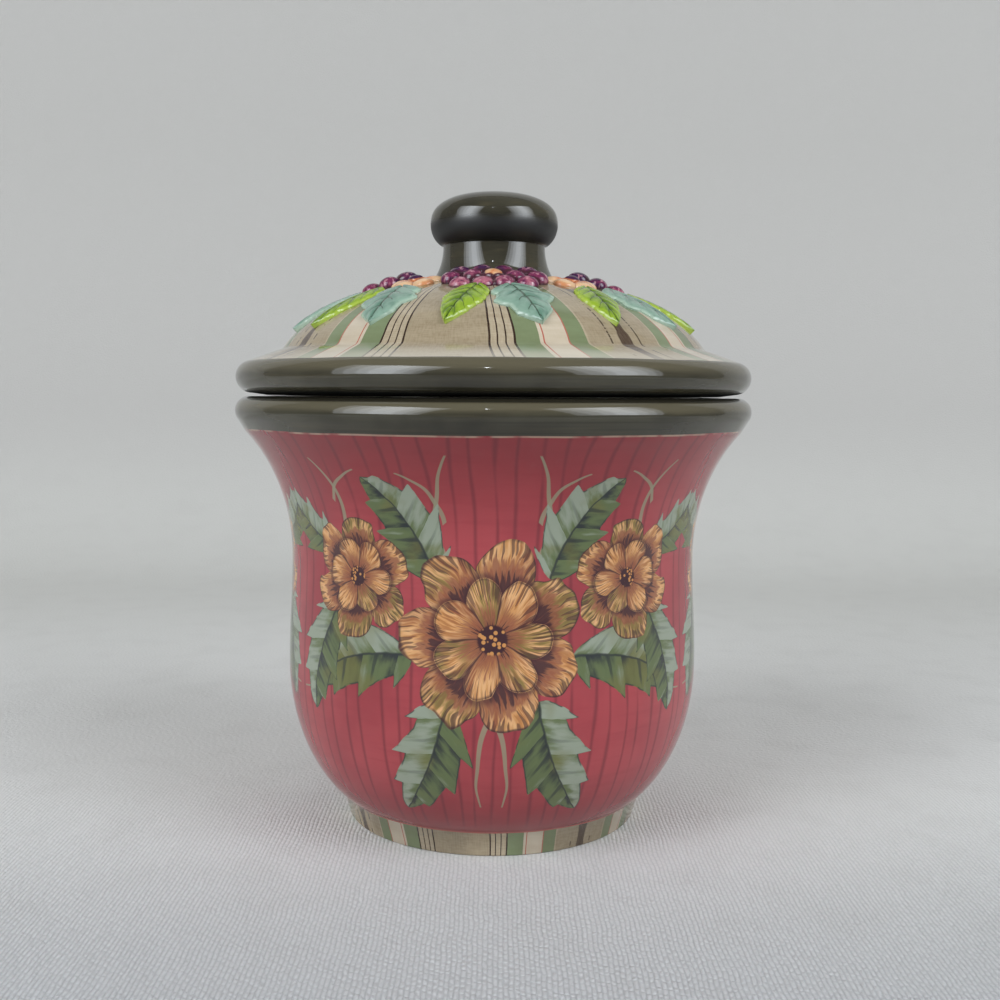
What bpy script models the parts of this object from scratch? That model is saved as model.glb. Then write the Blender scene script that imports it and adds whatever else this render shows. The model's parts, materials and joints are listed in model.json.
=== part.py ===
"""Sugar canister: a slip-cast stoneware jar with a lift-off lid, its seal, its knob and a sprigged wreath.

The canister stands on z = 0 with its axis on Z. Its front faces -Y. Lengths are in metres.
"""

import math

import bmesh
import bpy
from mathutils import Matrix, Vector

MM = 0.001

# Fits, wall thickness and the segments of turned pieces
FIT = 0.3 * MM
WALL = 5.0 * MM
TURN_STEPS = 40
KNOB_STEPS = 28
MERGE = 0.01 * MM

# Jar: the rolled rim, the flared mouth, the waist, the belly and the foot
RIM_R = 75.0 * MM
RIM_WIDTH = 10.0 * MM
RIM_ROLL = 4.1 * MM
RIM_PROUD = 2.8 * MM
RIM_BAND = 9.8 * MM
LIP_ROUND = 1.0 * MM
JAR_HEIGHT = 123.5 * MM
THROAT_DEPTH = 12.0 * MM
WAIST_R = 59.2 * MM
WAIST_Z = 78.0 * MM
BELLY_R = 60.3 * MM
BELLY_Z = 46.0 * MM
FOOT_R = 43.0 * MM
FOOT_SPREAD = 1.8 * MM
FOOT_HEIGHT = 7.0 * MM
FOOT_ROUND = 0.7 * MM
FOOT_RING_WIDTH = 6.5 * MM
RECESS_DEPTH = 2.8 * MM
FLOOR_THICKNESS = 5.6 * MM
BELLY_REACH = 1.155
HOLLOW_REACH = 1.08
FLARE_REACH = 1.36

# Lid: the rolled rim, the sloping brim, the domed crown and the flange that drops into the mouth
LID_RIM_ROLL = 4.6 * MM
LID_RIM_LIFT = 0.6 * MM
BRIM_TILT = 20.0
BRIM_WIDTH = 13.6 * MM
CROWN_HEIGHT = 34.2 * MM
CROWN_SPRING = 6.2 * MM
CREASE_RISE = 7.0 * MM
FLANGE_GAP = 4.5 * MM
FLANGE_WALL = 4.5 * MM
FLANGE_DEPTH = 11.8 * MM
FLANGE_ROUND = 0.8 * MM

# Seal: a silicone ring in the flange's groove, with fins that wipe the mouth
GROOVE_DEPTH = 1.2 * MM
GROOVE_TOP = 2.6 * MM
SEAL_HEIGHT = 6.6 * MM
SEAL_BODY = 2.2 * MM
FIN_COUNT = 3
FIN_ROOT = 1.3 * MM
FIN_TIP = 0.6 * MM
FIN_UPTURN = 0.7 * MM

# Knob: a flaring neck under a flat-crowned bulb, hollow from below
KNOB_BASE_R = 18.3 * MM
KNOB_SEAT_LEDGE = 0.7 * MM
NECK_R = 14.9 * MM
NECK_HEIGHT = 10.2 * MM
BULB_R = 18.6 * MM
BULB_UNDERCUT = 6.3 * MM
BULB_CROWN = 9.0 * MM
BULB_SQUARENESS = 2.5
BULB_STEPS = 7
UNDERCUT_REACH = 1.06
NECK_REACH = 1.25
SPIGOT_R = 10.7 * MM
SPIGOT_LENGTH = 3.5 * MM
KNOB_BORE_R = 6.0 * MM
KNOB_CAP = 9.0 * MM

# Wreath: berries on each side of the knob, a blossom at each corner, and a pair of leaves beyond each
SIDES = ("front", "right", "back", "left")
CORNERS = ("front_right", "back_right", "back_left", "front_left")
BERRY_R = 3.5 * MM
BERRY_HEIGHT = 2.6 * MM
BERRY_PITCH = 6.0 * MM
BERRY_ROW_PITCH = 5.2 * MM
BERRY_ROWS = (4, 5, 4)
BERRY_LIFT = 0.2 * MM
BERRY_MARGIN = 1.7 * MM
LEAF_LENGTH = 23.0 * MM
LIME_LEAF_WIDTH = 11.0 * MM
TEAL_LEAF_WIDTH = 15.0 * MM
LEAF_HEIGHT = 1.5 * MM
LEAF_EDGE = 0.8 * MM
LEAF_MIDRIB = 0.4 * MM
LIME_LEAF_SCALLOP = 0.03
TEAL_LEAF_SCALLOP = 0.13
LEAF_LOBES = 3
LEAF_MARGIN = 2.4 * MM
LEAF_BESIDE = 9.5
LEAF_TURN = 13.0
PETALS = 5
PETAL_LENGTH = 6.8 * MM
PETAL_WIDTH = 6.4 * MM
PETAL_HEIGHT = 1.6 * MM
PETAL_FROM_EYE = 4.5 * MM
EYE_R = 2.4 * MM
EYE_HEIGHT = 1.7 * MM
EYE_LIFT = 0.9 * MM
SPRIG_ROOT = 3.0 * MM

# Sizes worked out from the ones above
MOUTH_R = RIM_R - RIM_WIDTH
FLOOR_Z = RECESS_DEPTH + FLOOR_THICKNESS
LID_Z = JAR_HEIGHT + FIT
SPRING_Z = LID_Z + CROWN_SPRING
LID_ROLL_Z = LID_Z + LID_RIM_LIFT + LID_RIM_ROLL
LID_ROLL_R = RIM_R - LID_RIM_ROLL - FIT
CREASE_R = RIM_R - BRIM_WIDTH
CREASE_Z = SPRING_Z + CREASE_RISE
CROWN_HALF_HEIGHT = CROWN_HEIGHT - CROWN_SPRING
CROWN_HALF_WIDTH = CREASE_R / math.sqrt(1 - (CREASE_RISE / CROWN_HALF_HEIGHT) ** 2)
FLANGE_R = MOUTH_R - FLANGE_GAP
KNOB_SEAT_R = KNOB_BASE_R + KNOB_SEAT_LEDGE
BERRIES_HALF_DEPTH = (len(BERRY_ROWS) - 1) / 2 * BERRY_ROW_PITCH + BERRY_R
BERRIES_FROM_AXIS = KNOB_SEAT_R + BERRY_MARGIN + BERRIES_HALF_DEPTH
INNER_WREATH_R = BERRIES_FROM_AXIS + BERRIES_HALF_DEPTH
BLOSSOM_FROM_AXIS = INNER_WREATH_R - PETAL_FROM_EYE - PETAL_LENGTH / 2
LEAF_START = INNER_WREATH_R + 2 * FIT
LEAF_FROM_AXIS = CREASE_R - LEAF_MARGIN - LEAF_LENGTH / 2


def arc(centre, radii, start, end, steps):
    """Points (r, z) on an elliptical arc, by angle in degrees from +X towards +Z."""
    angles = [math.radians(start + (end - start) * i / steps) for i in range(steps + 1)]
    return [(centre[0] + radii[0] * math.cos(a), centre[1] + radii[1] * math.sin(a)) for a in angles]


def bow(upright, far, reach, steps):
    """Points (r, z) on the elliptical arc that starts upright at one point and ends at the other.

    reach is the ellipse's half height over the arc's rise, so a larger one makes a flatter curve.
    """
    end = math.asin(1 / reach)
    half_width = (far[0] - upright[0]) / (math.cos(end) - 1)
    half_height = reach * (far[1] - upright[1])
    turns = [end * i / steps for i in range(steps + 1)]
    return [
        (upright[0] + half_width * (math.cos(t) - 1), upright[1] + half_height * math.sin(t))
        for t in turns
    ]


def ease(start, end, steps):
    """Points (r, z) of an S-curve that is upright at both ends."""
    shares = [i / steps for i in range(steps + 1)]
    return [
        (
            start[0] + (end[0] - start[0]) * (1 - math.cos(math.pi * s)) / 2,
            start[1] + (end[1] - start[1]) * s,
        )
        for s in shares
    ]


def jar_profile():
    """The jar's section, from the middle of its floor up the inside, over the rim and down to the foot."""
    inner_belly = (BELLY_R - WALL, BELLY_Z)
    inner_waist = (WAIST_R - WALL, WAIST_Z)
    throat = (MOUTH_R, JAR_HEIGHT - THROAT_DEPTH)
    inside = bow(inner_belly, (FOOT_R - WALL, FLOOR_Z), HOLLOW_REACH, 5)[::-1]
    inside += ease(inner_belly, inner_waist, 2)[1:]
    inside += bow(inner_waist, throat, FLARE_REACH, 4)[1:]
    lip = (MOUTH_R + LIP_ROUND, JAR_HEIGHT - LIP_ROUND)
    inside += arc(lip, (LIP_ROUND, LIP_ROUND), 180, 90, 2)

    roll = (RIM_R - RIM_ROLL, JAR_HEIGHT - RIM_ROLL)
    flare = (RIM_R - RIM_PROUD, JAR_HEIGHT - RIM_BAND)
    outside = arc(roll, (RIM_ROLL, RIM_ROLL), 90, -40, 6)
    outside += bow((WAIST_R, WAIST_Z), flare, FLARE_REACH, 7)[::-1]
    outside += ease((WAIST_R, WAIST_Z), (BELLY_R, BELLY_Z), 2)[1:]
    outside += bow((BELLY_R, BELLY_Z), (FOOT_R + FOOT_SPREAD, FOOT_HEIGHT), BELLY_REACH, 8)[1:]

    ring_inner = FOOT_R - FOOT_RING_WIDTH
    foot = (FOOT_R - FOOT_ROUND, FOOT_ROUND)
    under = arc(foot, (FOOT_ROUND, FOOT_ROUND), 0, -90, 2)
    under += [(ring_inner, 0), (ring_inner - RECESS_DEPTH, RECESS_DEPTH), (0, RECESS_DEPTH)]
    return [(0, FLOOR_Z)] + inside + outside + under


def crown_arc(proud):
    """The crown's outer curve from the knob's seat down to the crease, moved out by proud."""
    start = math.degrees(math.acos(KNOB_SEAT_R / CROWN_HALF_WIDTH))
    end = math.degrees(math.asin(CREASE_RISE / CROWN_HALF_HEIGHT))
    return arc((0, SPRING_Z), (CROWN_HALF_WIDTH + proud, CROWN_HALF_HEIGHT + proud), start, end, 8)


def seat_z():
    """The height of the flat that the knob stands on."""
    return crown_arc(0)[0][1]


def lid_profile():
    """The lid's section, a closed loop that starts at the knob's seat and runs down the outside."""
    seat = (SPIGOT_R + FIT, seat_z())
    roll = (LID_ROLL_R, LID_ROLL_Z)
    outside = [seat] + crown_arc(0)
    outside += arc(roll, (LID_RIM_ROLL, LID_RIM_ROLL), 90 - BRIM_TILT, -90, 7)
    outside += [(MOUTH_R + LIP_ROUND, LID_Z), (FLANGE_R, LID_Z)]

    groove_r = FLANGE_R - GROOVE_DEPTH
    groove_top = LID_Z - GROOVE_TOP
    groove_bottom = groove_top - SEAL_HEIGHT
    flange_z = LID_Z - FLANGE_DEPTH
    inner_r = FLANGE_R - FLANGE_WALL
    outside += [(FLANGE_R, groove_top), (groove_r, groove_top), (groove_r, groove_bottom)]
    outside += [(FLANGE_R, groove_bottom), (FLANGE_R, flange_z + FLANGE_ROUND)]
    outside += [(FLANGE_R - FLANGE_ROUND, flange_z), (inner_r + FLANGE_ROUND, flange_z)]
    outside += [(inner_r, flange_z + FLANGE_ROUND)]

    half_height = CROWN_HALF_HEIGHT - WALL
    half_width = inner_r / math.sqrt(1 - (CREASE_RISE / half_height) ** 2)
    start = math.degrees(math.acos(inner_r / half_width))
    end = math.degrees(math.acos(seat[0] / half_width))
    return outside + arc((0, SPRING_Z), (half_width, half_height), start, end, 7)


def seal_profile():
    """The seal's section, a closed loop that runs down its finned outer side."""
    inner_r = FLANGE_R - GROOVE_DEPTH + FIT
    root_r = inner_r + SEAL_BODY
    tip_r = MOUTH_R - FIT
    top = LID_Z - GROOVE_TOP - FIT
    bottom = top - SEAL_HEIGHT + 2 * FIT
    pitch = (top - bottom) / FIN_COUNT
    loop = [(inner_r, top)]
    for i in range(FIN_COUNT):
        middle = top - pitch * (i + 0.5)
        loop += [(root_r, middle + FIN_ROOT / 2), (tip_r, middle + FIN_UPTURN + FIN_TIP / 2)]
        loop += [(tip_r, middle + FIN_UPTURN - FIN_TIP / 2), (root_r, middle - FIN_ROOT / 2)]
    return loop + [(inner_r, bottom)]


def knob_profile():
    """The knob's section, from its crown down the outside, under the spigot and up the bore."""
    base_z = seat_z() + FIT
    neck_z = base_z + NECK_HEIGHT
    bulb_z = neck_z + BULB_UNDERCUT
    crown = []
    for i in range(BULB_STEPS + 1):
        angle = math.radians(90 - 90 * i / BULB_STEPS)
        crown.append(
            (
                BULB_R * math.cos(angle) ** (2 / BULB_SQUARENESS),
                bulb_z + BULB_CROWN * math.sin(angle) ** (2 / BULB_SQUARENESS),
            )
        )
    crown[0] = (0, bulb_z + BULB_CROWN)
    undercut = bow((BULB_R, bulb_z), (NECK_R, neck_z), UNDERCUT_REACH, 4)[1:]
    neck = bow((NECK_R, neck_z), (KNOB_BASE_R, base_z), NECK_REACH, 4)[1:]
    foot_z = base_z - FIT - SPIGOT_LENGTH
    spigot = [(SPIGOT_R, base_z), (SPIGOT_R, foot_z), (KNOB_BORE_R, foot_z)]
    bore_z = bulb_z + BULB_CROWN - KNOB_CAP - KNOB_BORE_R
    bore = arc((0, bore_z), (KNOB_BORE_R, KNOB_BORE_R), 0, 90, 4)
    bore[-1] = (0, bore_z + KNOB_BORE_R)
    return crown + undercut + neck + spigot + bore


def crown_cutter_profile():
    """The crown's outside with the fit added, down to the spring line."""
    return [(0, seat_z() + FIT)] + crown_arc(FIT) + [(CREASE_R, SPRING_Z), (0, SPRING_Z)]


def leaf_cutter_profile():
    """The crown cutter with a drum on it that stands clear of the berries and the blossoms."""
    share = math.sqrt(1 - (LEAF_START / (CROWN_HALF_WIDTH + FIT)) ** 2)
    drum_foot = (LEAF_START, SPRING_Z + (CROWN_HALF_HEIGHT + FIT) * share)
    slope = [point for point in crown_arc(FIT) if point[0] > LEAF_START]
    top_z = seat_z() + NECK_HEIGHT
    drum = [(0, top_z), (LEAF_START, top_z), drum_foot]
    return drum + slope + [(CREASE_R, SPRING_Z), (0, SPRING_Z)]


def new_material(name, colour, roughness):
    """A glaze or a rubber as one Principled surface, its colour as linear red, green and blue."""
    material = bpy.data.materials.new(name)
    material.use_nodes = True
    shader = material.node_tree.nodes["Principled BSDF"]
    shader.inputs["Base Color"].default_value = (*colour, 1)
    shader.inputs["Roughness"].default_value = roughness
    return material


def place(name, mesh, collection, material=None, parent=None):
    """Puts a mesh into a collection as an object of the same name."""
    piece = bpy.data.objects.new(name, mesh)
    collection.objects.link(piece)
    piece.parent = parent
    if material:
        mesh.materials.append(material)
    return piece


def turned(name, points, closed, collection, material=None, parent=None, steps=TURN_STEPS):
    """A piece turned round the Z axis from (r, z) points that run down its outer side.

    A section that doesn't reach the axis is a closed loop. The origin is on the axis, at the parent.
    """
    mesh = bpy.data.meshes.new(name)
    form = bmesh.new()
    pivot_z = parent.location.z if parent else 0
    corners = [form.verts.new((r, 0, z - pivot_z)) for r, z in points]
    for a, b in zip(corners, corners[1:] + corners[:1] if closed else corners[1:]):
        form.edges.new((a, b))
    form.to_mesh(mesh)
    form.free()
    piece = place(name, mesh, collection, material, parent)
    screw = piece.modifiers.new("Turn", "SCREW")
    screw.axis = "Z"
    screw.angle = 2 * math.pi
    screw.steps = steps
    screw.render_steps = steps
    screw.use_merge_vertices = True
    screw.merge_threshold = MERGE
    screw.use_smooth_shade = True
    piece.modifiers.new("Normals", "WEIGHTED_NORMAL")
    return piece


def crown_at(from_axis):
    """The crown's height over the lid's axis point and its slope, at a distance from the axis."""
    share = math.sqrt(1 - (from_axis / CROWN_HALF_WIDTH) ** 2)
    slope = math.atan(CROWN_HALF_HEIGHT * from_axis / (CROWN_HALF_WIDTH**2 * share))
    return SPRING_Z - LID_Z + CROWN_HALF_HEIGHT * share, slope


def press_on_crown(form, from_axis, bearing, turn=0.0):
    """Bends a flat form to the crown, with its x out from the axis and its z straight out of the crown.

    bearing is where it lies round the axis and turn is its own turn on the crown, both in degrees.
    """
    shortening = math.cos(crown_at(from_axis)[1])
    form.transform(Matrix.Rotation(math.radians(turn), 4, "Z"))
    for corner in form.verts:
        out = from_axis + corner.co.x * shortening
        reach = math.hypot(out, corner.co.y)
        angle = math.radians(bearing) + math.atan2(corner.co.y, out)
        height, slope = crown_at(reach)
        reach += corner.co.z * math.sin(slope)
        height += corner.co.z * math.cos(slope)
        corner.co = (reach * math.cos(angle), reach * math.sin(angle), height)


def add_bead(form, centre, radii, turn=0.0):
    """Adds a rounded bead, stretched to its three radii and turned about z."""
    matrix = Matrix.Translation(centre) @ Matrix.Rotation(turn, 4, "Z") @ Matrix.Diagonal((*radii, 1))
    bmesh.ops.create_uvsphere(form, u_segments=6, v_segments=4, radius=1.0, matrix=matrix)


def berries_form():
    """A bunch of berries in rows, each set between the berries of the row before."""
    form = bmesh.new()
    middle = (len(BERRY_ROWS) - 1) / 2
    for row, count in enumerate(BERRY_ROWS):
        for i in range(count):
            x = (row - middle) * BERRY_ROW_PITCH
            y = (i - (count - 1) / 2) * BERRY_PITCH
            add_bead(form, (x, y, BERRY_LIFT), (BERRY_R, BERRY_R, BERRY_HEIGHT))
    return form


def blossom_form():
    """An open blossom: rounded petals round a raised eye."""
    form = bmesh.new()
    petal = (PETAL_LENGTH / 2, PETAL_WIDTH / 2, PETAL_HEIGHT)
    for i in range(PETALS):
        angle = 2 * math.pi * i / PETALS
        centre = (PETAL_FROM_EYE * math.cos(angle), PETAL_FROM_EYE * math.sin(angle), 0)
        add_bead(form, centre, petal, angle)
    add_bead(form, (0, 0, EYE_LIFT), (EYE_R, EYE_R, EYE_HEIGHT))
    return form


def leaf_form(width, scallop):
    """A pointed leaf with a scalloped edge and a sunk midrib, crowned on each side of it."""
    form = bmesh.new()
    sheet = bmesh.ops.create_grid(form, x_segments=2 * LEAF_LOBES, y_segments=4, size=1.0)
    for corner in sheet["verts"]:
        along, across, _ = corner.co
        share = (along + 1) / 2
        fullness = max(math.sin(math.pi * share**0.8), 0.03) ** 0.75
        edge = 1 - scallop * math.cos(2 * math.pi * LEAF_LOBES * share)
        height = LEAF_EDGE + (LEAF_HEIGHT - LEAF_EDGE) * (1 - across**2)
        if abs(across) < 0.1:
            height -= LEAF_MIDRIB
        place_across = across * width / 2 * fullness * edge
        corner.co = Vector((along * LEAF_LENGTH / 2, place_across, height))
    extruded = bmesh.ops.extrude_face_region(form, geom=form.faces[:])
    lower = [item for item in extruded["geom"] if isinstance(item, bmesh.types.BMVert)]
    for corner in lower:
        corner.co.z = -SPRIG_ROOT
    bmesh.ops.recalc_face_normals(form, faces=form.faces[:])
    return form


def sprig(name, form, cutter, collection, material, parent):
    """A sprig on the crown: its form, cut to the crown's curve with the fit left open."""
    mesh = bpy.data.meshes.new(name)
    form.to_mesh(mesh)
    form.free()
    mesh.shade_smooth()
    piece = place(name, mesh, collection, material, parent)
    cut = piece.modifiers.new("Seat", "BOOLEAN")
    cut.operation = "DIFFERENCE"
    cut.solver = "EXACT"
    cut.use_self = True
    cut.object = cutter
    return piece


def leaf_pair(place_name, bearing, glazes, cutter, collection, parent):
    """A narrow lime leaf and a broad teal one that spread outwards, one to each side of a bearing."""
    lime = ("lime", -1, LIME_LEAF_WIDTH, LIME_LEAF_SCALLOP)
    teal = ("teal", 1, TEAL_LEAF_WIDTH, TEAL_LEAF_SCALLOP)
    for name, hand, width, scallop in (lime, teal):
        form = leaf_form(width, scallop)
        press_on_crown(form, LEAF_FROM_AXIS, bearing + hand * LEAF_BESIDE, hand * LEAF_TURN)
        sprig(name + "_leaf_" + place_name, form, cutter, collection, glazes[name], parent)


def build_wreath(crown_cutter, leaf_cutter, collection, parent):
    """The berries of each side, the blossom of each corner and the leaves beyond them."""
    plum = new_material("plum_glaze", (0.16, 0.03, 0.09), 0.2)
    peach = new_material("peach_glaze", (0.72, 0.34, 0.18), 0.2)
    glazes = {
        "lime": new_material("lime_glaze", (0.24, 0.42, 0.06), 0.2),
        "teal": new_material("teal_glaze", (0.16, 0.36, 0.26), 0.2),
    }
    step = 360 / len(SIDES)
    for i, (side, corner) in enumerate(zip(SIDES, CORNERS)):
        bearing = -90 + step * i
        berries = berries_form()
        press_on_crown(berries, BERRIES_FROM_AXIS, bearing)
        sprig("berries_" + side, berries, crown_cutter, collection, plum, parent)
        blossom = blossom_form()
        press_on_crown(blossom, BLOSSOM_FROM_AXIS, bearing + step / 2)
        sprig("blossom_" + side, blossom, crown_cutter, collection, peach, parent)
        leaf_pair(side, bearing, glazes, leaf_cutter, collection, parent)
        leaf_pair(corner, bearing + step / 2, glazes, leaf_cutter, collection, parent)


def new_collection(name):
    """A collection linked to the scene."""
    collection = bpy.data.collections.new(name)
    bpy.context.scene.collection.children.link(collection)
    return collection


def main():
    """Clears the scene and builds the canister."""
    for old in list(bpy.data.objects):
        bpy.data.objects.remove(old, do_unlink=True)
    canister = new_collection("sugar_canister")
    cutters = new_collection("cutters")
    cutters.hide_render = True

    lid_axis = bpy.data.objects.new("lid_axis", None)
    lid_axis.location = (0, 0, LID_Z)
    canister.objects.link(lid_axis)

    rose = new_material("rose_glaze", (0.40, 0.06, 0.08), 0.18)
    striped = new_material("striped_glaze", (0.36, 0.32, 0.24), 0.18)
    olive = new_material("olive_glaze", (0.065, 0.06, 0.045), 0.12)
    silicone = new_material("clear_silicone", (0.75, 0.74, 0.70), 0.5)

    turned("jar", jar_profile(), False, canister, rose)
    turned("lid", lid_profile(), True, canister, striped, lid_axis)
    turned("seal_ring", seal_profile(), True, canister, silicone, lid_axis)
    turned("knob", knob_profile(), False, canister, olive, lid_axis, KNOB_STEPS)

    crown_cutter = turned("crown_cutter", crown_cutter_profile(), False, cutters, None, lid_axis)
    leaf_cutter = turned("leaf_cutter", leaf_cutter_profile(), False, cutters, None, lid_axis)
    for cutter in (crown_cutter, leaf_cutter):
        cutter.hide_render = True
        cutter.display_type = "WIRE"
    build_wreath(crown_cutter, leaf_cutter, canister, lid_axis)


main()
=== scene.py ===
"""Sugar canister: glazed surfaces, painted decoration and a raised wreath, in a plain studio.

The jar, lid, knob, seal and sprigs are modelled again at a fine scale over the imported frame, in
metres.
"""

import json
import logging
import math
from collections.abc import Callable
from dataclasses import dataclass
from enum import Enum

import bmesh
import bpy
from mathutils import Matrix, Vector

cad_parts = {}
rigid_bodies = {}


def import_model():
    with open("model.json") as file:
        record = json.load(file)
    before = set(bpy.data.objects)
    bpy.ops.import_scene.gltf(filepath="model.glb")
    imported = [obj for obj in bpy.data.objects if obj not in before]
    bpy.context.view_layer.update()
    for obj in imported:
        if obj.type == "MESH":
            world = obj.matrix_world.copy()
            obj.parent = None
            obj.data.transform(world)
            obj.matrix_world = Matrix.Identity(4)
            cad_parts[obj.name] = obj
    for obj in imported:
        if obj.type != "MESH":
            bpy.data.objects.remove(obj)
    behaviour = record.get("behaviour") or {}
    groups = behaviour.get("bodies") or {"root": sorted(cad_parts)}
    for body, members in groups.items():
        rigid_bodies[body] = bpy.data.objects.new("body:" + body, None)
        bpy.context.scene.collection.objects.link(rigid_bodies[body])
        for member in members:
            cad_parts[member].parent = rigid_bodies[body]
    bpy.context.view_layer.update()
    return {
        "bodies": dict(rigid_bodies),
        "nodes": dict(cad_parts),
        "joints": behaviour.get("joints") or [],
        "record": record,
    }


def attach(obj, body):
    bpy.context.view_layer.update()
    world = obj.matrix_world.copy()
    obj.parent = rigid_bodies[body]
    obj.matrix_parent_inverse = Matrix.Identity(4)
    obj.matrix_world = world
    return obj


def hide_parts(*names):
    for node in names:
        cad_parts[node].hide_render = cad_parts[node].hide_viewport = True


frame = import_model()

MM = 0.001
WELD = 0.001 * MM
SHARP = math.radians(42)
Colour = tuple[float, float, float, float]
Point = tuple[float, float]
Size = tuple[float, float, float]
Form = bmesh.types.BMesh
Material = bpy.types.Material
log = logging.getLogger("sugar_canister")


def display(red: int, green: int, blue: int) -> Colour:
    """Turns a colour as a screen shows it into a linear one.

    Args:
        red: Red from 0 to 255.
        green: Green from 0 to 255.
        blue: Blue from 0 to 255.

    Returns:
        The linear colour, opaque.
    """
    parts = [channel / 255 for channel in (red, green, blue)]
    linear = [p / 12.92 if p <= 0.04045 else ((p + 0.055) / 1.055) ** 2.4 for p in parts]
    return (linear[0], linear[1], linear[2], 1.0)


class Paint(Enum):
    """The underglaze colours of the canister."""

    OLIVE = display(65, 62, 49)
    OLIVE_DEEP = display(46, 43, 33)
    OLIVE_WARM = display(80, 72, 52)
    OLIVE_THIN = display(90, 84, 66)
    # Near-black painted shade for the joint between lid and jar and under the knob's bulb.
    PAINTED_SHADE = display(8, 8, 7)
    ROSE = display(168, 67, 72)
    ROSE_DEEP = display(148, 54, 61)
    ROSE_BROWN = display(129, 43, 47)
    ROSE_COMB = display(104, 38, 46)
    TAUPE = display(170, 155, 129)
    TAUPE_PALE = display(186, 171, 146)
    # Painted shade for the foot band.
    FOOT_SHADE = display(52, 46, 37)
    SAGE = display(124, 136, 100)
    CREAM = display(206, 192, 170)
    # A pale painted sheen laid over the brim.
    BRIM_SHEEN = display(222, 214, 198)
    PINK_LINE = display(184, 104, 88)
    DARK_LINE = display(60, 44, 34)
    UMBER = display(70, 50, 40)
    IVORY = display(226, 220, 204)
    CLAY = display(214, 200, 178)
    OCHRE = display(196, 136, 78)
    APRICOT = display(218, 168, 116)
    RUST = display(130, 70, 52)
    PLUM_STROKE = display(60, 32, 38)
    MOSS = display(112, 108, 54)
    LEAF_PALE = display(144, 152, 134)
    LEAF_MID = display(94, 106, 68)
    LEAF_DARK = display(40, 45, 46)
    STEM = display(142, 138, 112)
    PLUM = display(62, 26, 64)
    MAGENTA = display(118, 44, 78)
    PINK = display(172, 100, 116)
    BLUSH = display(204, 150, 158)
    LIME = display(143, 170, 46)
    LIME_DEEP = display(98, 128, 34)
    LIME_RIM = display(176, 196, 84)
    TEAL = display(134, 162, 144)
    TEAL_DEEP = display(102, 136, 118)
    TEAL_RIM = display(176, 196, 176)
    LEAF_INK = display(50, 60, 40)
    PEACH = display(224, 184, 142)
    PEACH_DEEP = display(204, 126, 78)
    SILICONE = display(222, 220, 212)
    WALL = display(183, 181, 177)
    FAR_CLOTH = display(200, 199, 194)
    NEAR_CLOTH = display(220, 219, 216)
    CLOTH = display(195, 196, 197)
    DIM_CLOTH = display(150, 150, 150)
    # Painted shade for the cloth's grooves.
    GROOVE_SHADE = display(140, 141, 143)


@dataclass(frozen=True)
class Glaze:
    """How a fired surface shines.

    Attributes:
        roughness: Mean roughness of the surface.
        ior: Refractive index of the glaze.
        ripple: Depth of the slow ripples in the surface.
    """

    roughness: float = 0.065
    ior: float = 1.56
    ripple: float = 0.13


GLOSS = Glaze(ripple=0.28)
DEEP_GLOSS = Glaze(roughness=0.05, ior=1.6, ripple=0.16)
INSIDE_GLOSS = Glaze(roughness=0.14, ripple=0.1)
DRY_CLAY = Glaze(roughness=0.85, ior=1.45, ripple=0.1)
RUBBER = Glaze(roughness=0.45, ior=1.41, ripple=0.05)


def operation(name: str, swapped: bool = False) -> Callable[..., "Signal"]:
    """Makes a method of Signal that works a number out with a Math node.

    Args:
        name: The Math node's operation.
        swapped: Whether the signal comes after the other value.

    Returns:
        The method.
    """

    def method(signal: "Signal", *others: object) -> "Signal":
        """Adds the Math node and returns its result."""
        values = (*others, signal) if swapped else (signal, *others)
        return signal.graph.take("Math", 0, values, operation=name)

    return method


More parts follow.
